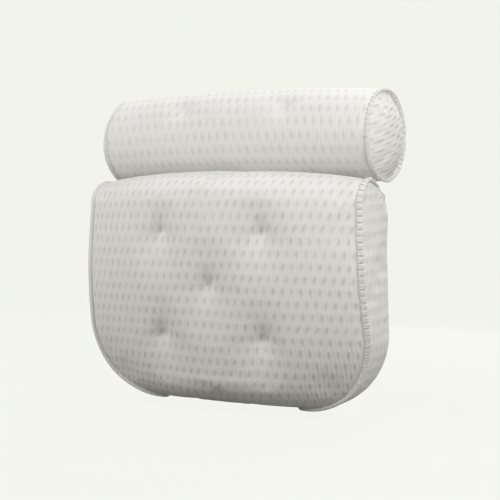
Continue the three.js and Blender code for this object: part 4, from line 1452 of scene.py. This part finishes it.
@dataclass
class NeckRoll:
    """The stuffed neck roll with its end panels, bound end seams and tufts."""

    radius: float = 55.0
    length: float = 348.0
    draw_in: float = 2.8
    draw_length: float = 150.0
    turn_in: float = 1.6  # the cloth turns in to the end seam over a short length
    turn_length: float = 6.0
    rim: float = 51.0  # radius of the end seam
    lift: float = 1.1  # the middle rides up over the pad's crest
    droop: float = 2.2  # and the ends hang down
    axis_y: float = -30.0
    axis_z: float = 186.694
    tuft_x: float = 68.0
    tuft_angle: float = 147.0  # degrees from +Y, up over the top to the front
    tuft_depth: float = 5.0
    tuft_reach: float = 30.0
    tuft_fold: float = 0.3  # height of the folds that a tuft pulls
    tuft_hold: float = 4.5  # a tuft holds the cloth down within this radius
    pinch_depth: float = 3.6
    pinch_reach: float = 3.6
    seam_angle: float = 315.0  # the cover's edges meet at the bottom back
    stretch: float = 1.16  # the cloth is drawn out this much round the roll
    dome: float = 15.0
    sag: float = 2.5  # the filling sinks to the lower half of an end
    end_folds: tuple[tuple[float, int, float], ...] = ((1.0, 13, 0.7), (0.6, 8, 2.0), (0.5, 19, 0.0))
    end_fold: float = 0.9  # height of the folds near an end's seam, and of the wide ones inside it
    flare: float = 0.55
    rings: int = 137
    around: int = 132
    end_rings: int = 16
    binding_steps: int = 120
    stuffing: Stuffing = Stuffing(pressure=3.0, slack=0.0, bending=30.0, cap=2.0)

    def surface(self) -> np.ndarray:
        """Gives the cover's points, ring by ring from the left end."""
        x = np.linspace(-self.length / 2, self.length / 2, self.rings)[:, None]
        round_it = np.linspace(0, 2 * math.pi, self.around, endpoint=False)[None, :]
        angle = np.radians(self.tuft_angle) + round_it
        from_end = np.clip(1 - (self.length / 2 - np.abs(x)) / self.draw_length, 0, 1)
        drawn = np.zeros((self.rings, self.around))
        turn = (angle - np.radians(self.tuft_angle) + math.pi) % (2 * math.pi) - math.pi
        for tx in (-self.tuft_x, self.tuft_x):
            away = np.hypot(x - tx, turn * self.radius)
            near = np.clip(1 - away / self.tuft_reach, 0, 1)
            spin = np.arctan2(turn * self.radius, x - tx)
            fold = np.cos(5 * spin + 0.4) * np.clip(away / 8, 0, 1)
            pinch = self.pinch_depth * np.exp(-away / self.pinch_reach)
            drawn = np.maximum(drawn, self.tuft_depth * near**2 + self.tuft_fold * fold * near**2 + pinch)
        turned = np.clip(1 - (self.length / 2 - np.abs(x)) / self.turn_length, 0, 1)
        radius = self.radius - self.draw_in * from_end**2 - self.turn_in * turned**2 - drawn
        return np.stack(
            [
                np.broadcast_to(x, radius.shape),
                self.axis_y + radius * np.cos(angle),
                self.axis_z + self.ride_up(x) + radius * np.sin(angle),
            ],
            axis=2,
        )

    @property
    def end_z(self) -> float:
        """Height of the roll's ends."""
        return self.axis_z - self.droop

    def ride_up(self, x: np.ndarray) -> np.ndarray:
        """Gives how far the axis is above its mean height: up in the middle, down at the ends."""
        return self.lift - (self.lift + self.droop) * (2 * x / self.length) ** 2

    def build(self, finishes: Finishes) -> None:
        """Makes every piece of the roll and sets it on the roll's body.

        Args:
            finishes: the pillow's materials.
        """
        plain = self.surface()
        flat = plain.reshape(-1, 3)
        held = {*range(self.around), *range((self.rings - 1) * self.around, self.rings * self.around)}
        tacks = {}
        for side in Side:
            # Each ring starts on the line of the tufts.
            ring = np.argmin(np.abs(plain[:, 0, 0] - side.value * self.tuft_x))
            tacks[side] = plain[ring, 0]
            near = np.linalg.norm(flat - tacks[side], axis=1) < self.tuft_hold
            held.update(int(i) for i in np.flatnonzero(near))
        faces = [f[::-1] for f in grid_faces(self.rings, self.around, around=True)]
        settled = self.stuffing.settle(flat, faces, sorted(held))
        self.cover(settled.reshape(plain.shape), finishes)
        for side in Side:
            self.end_panel(side, finishes)
            self.end_binding(side, finishes)
        turn = math.radians(self.tuft_angle)
        way, out = np.array([1.0, 0, 0]), np.array([0, math.cos(turn), math.sin(turn)])
        for side, spot in tacks.items():
            stitch = bar_tack(f"roll_tuft_{side.word}_stitch", spot, way, out, finishes)
            set_on(stitch, "neck_roll", "thread", f"roll_tuft_{side.word}")

    def cover(self, grid: np.ndarray, finishes: Finishes) -> None:
        """Makes the wrapped cover, with its cloth's edges meeting at the bottom back.

        Args:
            grid: the settled points, ring by ring.
            finishes: the pillow's materials.
        """
        # The cloth starts and ends on one line, so that line has two sets of points.
        seam = round((self.seam_angle - self.tuft_angle) / 360 * self.around) % self.around
        order = [(seam + i) % self.around for i in range(self.around + 1)]
        wrapped = grid[:, order]
        round_length = 2 * math.pi * self.radius
        v = np.linspace(0, round_length, self.around + 1)[None, :] / self.stretch
        u = wrapped[:, :, 0]
        uv = np.stack([u, np.broadcast_to(v, u.shape)], axis=2).reshape(-1, 2)
        faces = [f[::-1] for f in grid_faces(self.rings, self.around + 1)]
        piece = mesh_piece("roll_cover_cloth", wrapped.reshape(-1, 3), faces, [finishes.taut], uv)
        set_on(piece, "neck_roll", "air_mesh", "roll_cover")
        soften(piece)

    def end_panel(self, side: Side, finishes: Finishes) -> None:
        """Makes one domed end panel with soft folds.

        Args:
            side: which end.
            finishes: the pillow's materials.
        """
        share = np.linspace(0, 1, self.end_rings + 1)[:, None]
        angle = np.linspace(0, 2 * math.pi, self.around, endpoint=False)[None, :]
        radius = (self.rim - 0.8) * share
        swell = self.dome * (1 - share**2.8) - self.sag * share * (1 - share**2) * np.sin(angle)
        gather = sum(height * np.cos(count * angle + start) for height, count, start in self.end_folds)
        wide = np.sin(3 * angle + 0.4) * share * (1 - share)
        fold = self.end_fold * (gather * share**3 * (1 - share) * 4 + wide)
        grid = np.stack(
            [
                side.value * (self.length / 2 + 0.2 + swell + fold),
                self.axis_y + radius * np.cos(angle),
                self.end_z + radius * np.sin(angle),
            ],
            axis=2,
        )
        uv = (grid[:, :, 1:3] - np.array([self.axis_y, self.end_z])).reshape(-1, 2)
        uv[:, 0] *= side.value
        faces = grid_faces(*grid.shape[:2], around=True)
        if side is Side.RIGHT:
            faces = [f[::-1] for f in faces]
        name = f"roll_end_panel_{side.word}"
        piece = mesh_piece(f"{name}_cloth", grid.reshape(-1, 3), faces, [finishes.end], uv)
        set_on(piece, "neck_roll", "air_mesh", name)
        soften(piece)

    def end_binding(self, side: Side, finishes: Finishes) -> None:
        """Makes the bound seam round one end.

        Args:
            side: which end.
            finishes: the pillow's materials.
        """
        angle = np.linspace(0, 2 * math.pi, self.binding_steps, endpoint=False)
        radial = np.stack([np.zeros_like(angle), np.cos(angle), np.sin(angle)], axis=1)
        middle = np.array([side.value * self.length / 2, self.axis_y, self.end_z])
        path = radial * (self.rim - 1.6) + middle
        out = radial * self.flare + np.array([side.value, 0, 0])
        out /= np.linalg.norm(out, axis=1, keepdims=True)
        ways = np.stack([np.zeros_like(angle), -np.sin(angle), np.cos(angle)], axis=1)
        across = np.cross(ways, out) * -1
        seam = BoundSeam(height=6.6, thick=2.8, stitch_pitch=6.2, stitch_radius=0.5, pull=0.3, pinch=0.25)
        name = f"roll_binding_{side.word}"
        piece = seam.build(f"{name}_tape", path, out, across, True, finishes)
        set_on(piece, "neck_roll", "binding_tape", name)


# Fittings


@dataclass
class CupSet:
    """The suction cups and their eyelets, behind the pad and the roll."""

    spacing_x: float = 210.0
    spacing_z: float = 130.0
    pad_face: float = -20.0
    roll_y: float = -30.0
    roll_z: float = 186.694
    roll_radius: float = 53.8336  # of the roll where its cups sit
    wall: float = 4.0
    standoff: float = 20.0
    radius: float = 28.0
    lip: float = 3.0
    hollow: float = 9.0
    shoulder: float = 9.0
    neck: float = 5.2
    head: float = 8.4
    head_length: float = 5.0
    bore: float = 5.7
    barrel: float = 1.5
    eyelet: float = 10.5
    flange: float = 1.5
    gap: float = 0.3
    sides: int = 48

    def build(self, finishes: Finishes) -> None:
        """Makes every cup and eyelet and sets each on its body.

        Args:
            finishes: the pillow's materials.
        """
        x, z = self.spacing_x / 2, self.spacing_z / 2
        for up, height in (("upper", z), ("lower", -z)):
            for side in Side:
                place = (side.value * x, self.pad_face, height)
                name, cup = f"pad_{{}}_{up}_{side.word}", f"{up}_{side.word}_cup"
                self.pair(name, place, self.wall, self.gap, "pad", cup, finishes)
        inner = self.roll_radius - self.wall
        seat = self.roll_radius - math.sqrt(self.roll_radius**2 - self.eyelet**2) + self.gap
        grip = self.wall + inner - math.sqrt(inner**2 - self.eyelet**2)
        for side in Side:
            place = (side.value * x, self.roll_y + self.roll_radius, self.roll_z)
            name, cup = f"roll_{{}}_{side.word}", f"{side.word}_roll_cup"
            self.pair(name, place, grip, seat, "neck_roll", cup, finishes)

    def pair(
        self,
        name: str,
        place: tuple[float, float, float],
        wall: float,
        seat: float,
        body: str,
        cup_body: str,
        finishes: Finishes,
    ) -> None:
        """Makes one cup with its eyelet.

        Args:
            name: pattern of the nodes' names.
            place: where the cup's axis meets the face that it is fitted to.
            wall: thickness that the eyelet grips.
            seat: room between that face and the eyelet's flange.
            body: body that carries the eyelet.
            cup_body: the cup's own body.
            finishes: the pillow's materials.
        """
        eyelet, cup = name.format("eyelet"), name.format("cup")
        profile = self.eyelet_profile(wall, seat)
        ring = self.turned(f"{eyelet}_ring", profile, place, finishes.eyelet, True)
        profile = self.cup_profile(wall, seat)
        moulding = self.turned(f"{cup}_moulding", profile, place, finishes.cup, False)
        set_on(ring, body, "eyelet_plastic", eyelet)
        set_on(moulding, cup_body, "clear_pvc", cup)

    def eyelet_profile(self, wall: float, seat: float) -> list[tuple[float, float]]:
        """Gives the eyelet's section as radius and depth pairs, with its edges eased."""
        front, back = -wall - seat, seat
        outer = self.bore + self.barrel
        ease = 0.4
        return [
            (self.bore, front - self.flange + ease),
            (self.bore + ease, front - self.flange),
            (self.eyelet - ease, front - self.flange),
            (self.eyelet, front - self.flange + ease),
            (self.eyelet, front),
            (outer, front),
            (outer, back),
            (self.eyelet, back),
            (self.eyelet, back + self.flange - ease),
            (self.eyelet - ease, back + self.flange),
            (self.bore + ease, back + self.flange),
            (self.bore, back + self.flange - ease),
        ]

    def cup_profile(self, wall: float, seat: float) -> list[tuple[float, float]]:
        """Gives the cup's section as radius and depth pairs, from its head to its hollow."""
        head_back = -wall - seat - self.flange - self.gap
        shoulder = seat + self.flange + self.gap
        floor = self.standoff - self.hollow
        outside = []
        for share in np.linspace(0, 0.94, 12):
            reach = math.sin(share * math.pi / 2) ** 0.9
            radius = self.shoulder + (self.radius - self.shoulder) * reach
            outside.append((radius, shoulder + 2 + (self.standoff - 3 - shoulder) * share**1.35))
        inside = []
        for share in np.linspace(1, 0.08, 12):
            inside.append(((self.radius - self.lip) * share, floor + (self.standoff - floor) * share**2.2))
        return [
            (0.0, head_back - self.head_length),
            (self.head * 0.5, head_back - self.head_length * 0.98),
            (self.head * 0.85, head_back - self.head_length * 0.75),
            (self.head, head_back - self.head_length * 0.4),
            (self.head, head_back - 0.3),
            (self.head - 0.4, head_back),
            (self.neck, head_back),
            (self.neck, shoulder),
            (self.shoulder - 0.5, shoulder),
            *outside,
            (self.radius, self.standoff - 0.9),
            (self.radius, self.standoff - 0.2),
            (self.radius - 0.3, self.standoff),
            *inside,
            (0.0, floor),
        ]

    def turned(
        self,
        name: str,
        profile: list[tuple[float, float]],
        place: tuple[float, float, float],
        material: bpy.types.Material,
        ring: bool,
    ) -> bpy.types.Object:
        """Turns a section about an axis along +Y.

        Args:
            name: the piece's name.
            profile: radius and depth pairs.
            place: where depth 0 of the axis is.
            material: the piece's material.
            ring: whether the section closes on itself rather than on the axis.

        Returns:
            The turned piece.
        """
        turn = np.linspace(0, 2 * math.pi, self.sides, endpoint=False)
        body = profile if ring else profile[1:-1]
        rows = []
        for r, y in body:
            rows.append(np.stack([r * np.sin(turn), np.full_like(turn, y), r * np.cos(turn)], axis=1))
        points = np.concatenate(rows)
        faces = grid_faces(len(rows), self.sides, around=True)
        last = (len(rows) - 1) * self.sides
        edges = [(i, (i + 1) % self.sides) for i in range(self.sides)]
        if ring:
            faces += [(last + i, last + j, j, i) for i, j in edges]
        else:
            points = np.concatenate([points, [[0, profile[0][1], 0], [0, profile[-1][1], 0]]])
            head, floor = len(points) - 2, len(points) - 1
            faces += [(head, j, i) for i, j in edges]
            faces += [(floor, last + i, last + j) for i, j in edges]
        return mesh_piece(name, points + np.array(place), [f[::-1] for f in faces], [material])


@dataclass
class HingeStrip:
    """The folded tape that joins the roll to the pad's top."""

    length: float = 300.0
    thick: float = 2.0
    y: float = -30.0
    top: float = 131.394
    foot_mid: float = 122.9
    foot_side: float = 122.8
    half_top: float = 172.0
    crown_power: float = 2.4

    def build(self, finishes: Finishes) -> None:
        """Makes the strip with its round upper fold and sets it on the pad's body.

        Args:
            finishes: the pillow's materials.
        """
        half = self.thick / 2
        turn = np.linspace(0, math.pi, 7)
        rows = []
        for x in np.linspace(-self.length / 2, self.length / 2, 61):
            crown = 1 - abs(x / self.half_top) ** self.crown_power
            foot = self.foot_side + (self.foot_mid - self.foot_side) * crown
            fold = [(self.y + half * math.cos(t), self.top - half + half * math.sin(t)) for t in turn]
            section = [(self.y + half, foot), *fold, (self.y - half, foot)]
            rows.append([(x, y, z) for y, z in section])
        grid = np.array(rows)
        count = grid.shape[1]
        faces = grid_faces(grid.shape[0], count, around=True)
        last = (grid.shape[0] - 1) * count
        faces += [tuple(range(count))[::-1], tuple(range(last, last + count))]
        faces = [f[::-1] for f in faces]
        piece = mesh_piece("hinge_strip_tape", grid.reshape(-1, 3), faces, [finishes.tape])
        set_on(piece, "pad", "binding_tape", "hinge_strip")


# Studio


@dataclass(frozen=True)
class Softbox:
    """A square area lamp, with its place and size in metres and its power in watts."""

    name: str
    place: tuple[float, float, float]
    size: float
    power: float

    def build(self, aim: Vector) -> None:
        """Makes the lamp and turns it to a point.

        Args:
            aim: the point, in metres.
        """
        lamp = bpy.data.lights.new(self.name, "AREA")
        lamp.energy = self.power
        lamp.size = self.size
        light = bpy.data.objects.new(self.name, lamp)
        light.location = self.place
        light.rotation_euler = (aim - Vector(self.place)).to_track_quat("-Z", "Y").to_euler()
        bpy.context.scene.collection.objects.link(light)


@dataclass
class Studio:
    """A pale sweep, five soft lamps and a camera turned to the pillow's right."""

    floor_z: float = -135.0
    target: tuple[float, float, float] = (3.8, -30.3, 51.4)
    azimuth: float = 29.9
    elevation: float = 0.2
    roll: float = 1.15
    distance: float = 1418.0
    lens: float = 85.0
    backdrop: str = "#fafcf3"
    backdrop_share: float = 0.92  # of the sweep that is seen, the rest takes shadows
    floor: str = "#95968f"
    room: str = "#fbfbf8"
    room_light: float = 0.22
    aim: tuple[float, float, float] = (0.0, -0.08, 0.06)
    lamps: tuple[Softbox, ...] = (
        Softbox("softbox_right", (0.9, -0.4, 0.48), 0.5, 4.6),
        Softbox("softbox_left", (-0.7, -0.7, 0.5), 0.5, 4.7),
        Softbox("softbox_above", (0.2, 0.9, 1.8), 1.2, 23.0),
        Softbox("softbox_behind", (-0.2, 1.4, 0.45), 0.9, 9.0),
        Softbox("fill_front", (0.25, -0.55, 0.35), 0.4, 0.7),
    )

    def build(self) -> None:
        """Makes the sweep, the lights, the world and the camera."""
        self.sweep()
        self.lights()
        self.camera()

    def sweep(self) -> None:
        """Makes the floor that curves up into the backdrop all round."""
        rings = [(0.02, 0.0), (0.8, 0.0), (2.2, 0.0), (2.7, 0.05), (3.1, 0.25), (3.3, 0.7), (3.35, 2.5)]
        turn = np.linspace(0, 2 * math.pi, 64, endpoint=False)
        rows = []
        for r, z in rings:
            height = np.full_like(turn, z + self.floor_z * MM)
            rows.append(np.stack([r * np.cos(turn), r * np.sin(turn), height], axis=1))
        faces = [*grid_faces(len(rings), 64, around=True), tuple(range(64))]
        floor = mesh_piece("sweep", np.concatenate(rows) / MM, faces)
        material, tree, shader = new_material("sweep_painted_matt")
        shader.inputs["Base Color"].default_value = linear(self.floor)
        shader.inputs["Roughness"].default_value = 1.0
        glow = add_node(tree, "ShaderNodeEmission", inputs={"Color": linear(self.backdrop), "Strength": 1.0})
        path = add_node(tree, "ShaderNodeLightPath")
        glossy, clear = path.outputs["Is Glossy Ray"], path.outputs["Is Transmission Ray"]
        mirrored = add_node(tree, MATH, {"operation": "ADD"}, {0: glossy, 1: clear})
        clamped = {"operation": "ADD", "use_clamp": True}
        rays = {0: path.outputs["Is Camera Ray"], 1: mirrored.outputs[0]}
        looked_at = add_node(tree, MATH, clamped, rays)
        shares = {0: looked_at.outputs[0], 1: self.backdrop_share}
        seen = add_node(tree, MATH, {"operation": "MULTIPLY"}, shares)
        mixed = add_node(
            tree,
            "ShaderNodeMixShader",
            inputs={0: seen.outputs[0], 1: shader.outputs[0], 2: glow.outputs[0]},
        )
        tree.links.new(mixed.outputs[0], tree.nodes["Material Output"].inputs["Surface"])
        floor.data.materials.append(material)

    def lights(self) -> None:
        """Makes a softbox on each side, one above, one behind, a weak front fill and an even world."""
        for lamp in self.lamps:
            lamp.build(Vector(self.aim))
        world = bpy.data.worlds.new("pale_room")
        world.use_nodes = True
        background = world.node_tree.nodes["Background"]
        background.inputs["Color"].default_value = linear(self.room)
        background.inputs["Strength"].default_value = self.room_light
        bpy.context.scene.world = world

    def camera(self) -> None:
        """Makes the camera at the picture's angle, a little rolled."""
        azimuth, elevation, roll = (math.radians(a) for a in (self.azimuth, self.elevation, self.roll))
        target = Vector(self.target) * MM
        level = math.cos(elevation)
        back = Vector((math.sin(azimuth) * level, -math.cos(azimuth) * level, math.sin(elevation)))
        right = Vector((math.cos(azimuth), math.sin(azimuth), 0))
        up = back.cross(right)
        turned_right = right * math.cos(roll) + up * math.sin(roll)
        turned_up = up * math.cos(roll) - right * math.sin(roll)
        lens = bpy.data.cameras.new("camera")
        lens.lens = self.lens
        lens.sensor_width = 36.0
        lens.clip_start = 0.01
        camera = bpy.data.objects.new("camera", lens)
        turn = Matrix((turned_right, turned_up, back)).transposed().to_4x4()
        camera.matrix_world = Matrix.Translation(target + back * self.distance * MM) @ turn
        bpy.context.scene.collection.objects.link(camera)
        bpy.context.scene.camera = camera


def dress_cores(nodes: dict[str, bpy.types.Object], finishes: Finishes) -> None:
    """Gives the sealed fillings their own materials.

    Args:
        nodes: the solids by name.
        finishes: the pillow's materials.
    """
    for name, material in (
        ("pad_core_back", finishes.spacer),
        ("pad_core_middle", finishes.spacer),
        ("pad_core_front", finishes.spacer),
        ("roll_core", finishes.fibre),
    ):
        slots = nodes[name].data.materials
        slots.clear()
        slots.append(material)
        LOG.info("%s keeps its solid", name)


def main() -> None:
    """Builds the pillow and its studio."""
    logging.basicConfig(level=logging.INFO, format="%(message)s")
    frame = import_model()
    bpy.context.scene.view_settings.view_transform = "Standard"
    Studio().build()
    finishes = Finishes()
    Pad().build(finishes)
    NeckRoll().build(finishes)
    HingeStrip().build(finishes)
    CupSet().build(finishes)
    dress_cores(frame["nodes"], finishes)
    LOG.info("sizes written")


if __name__ == "__main__":
    main()
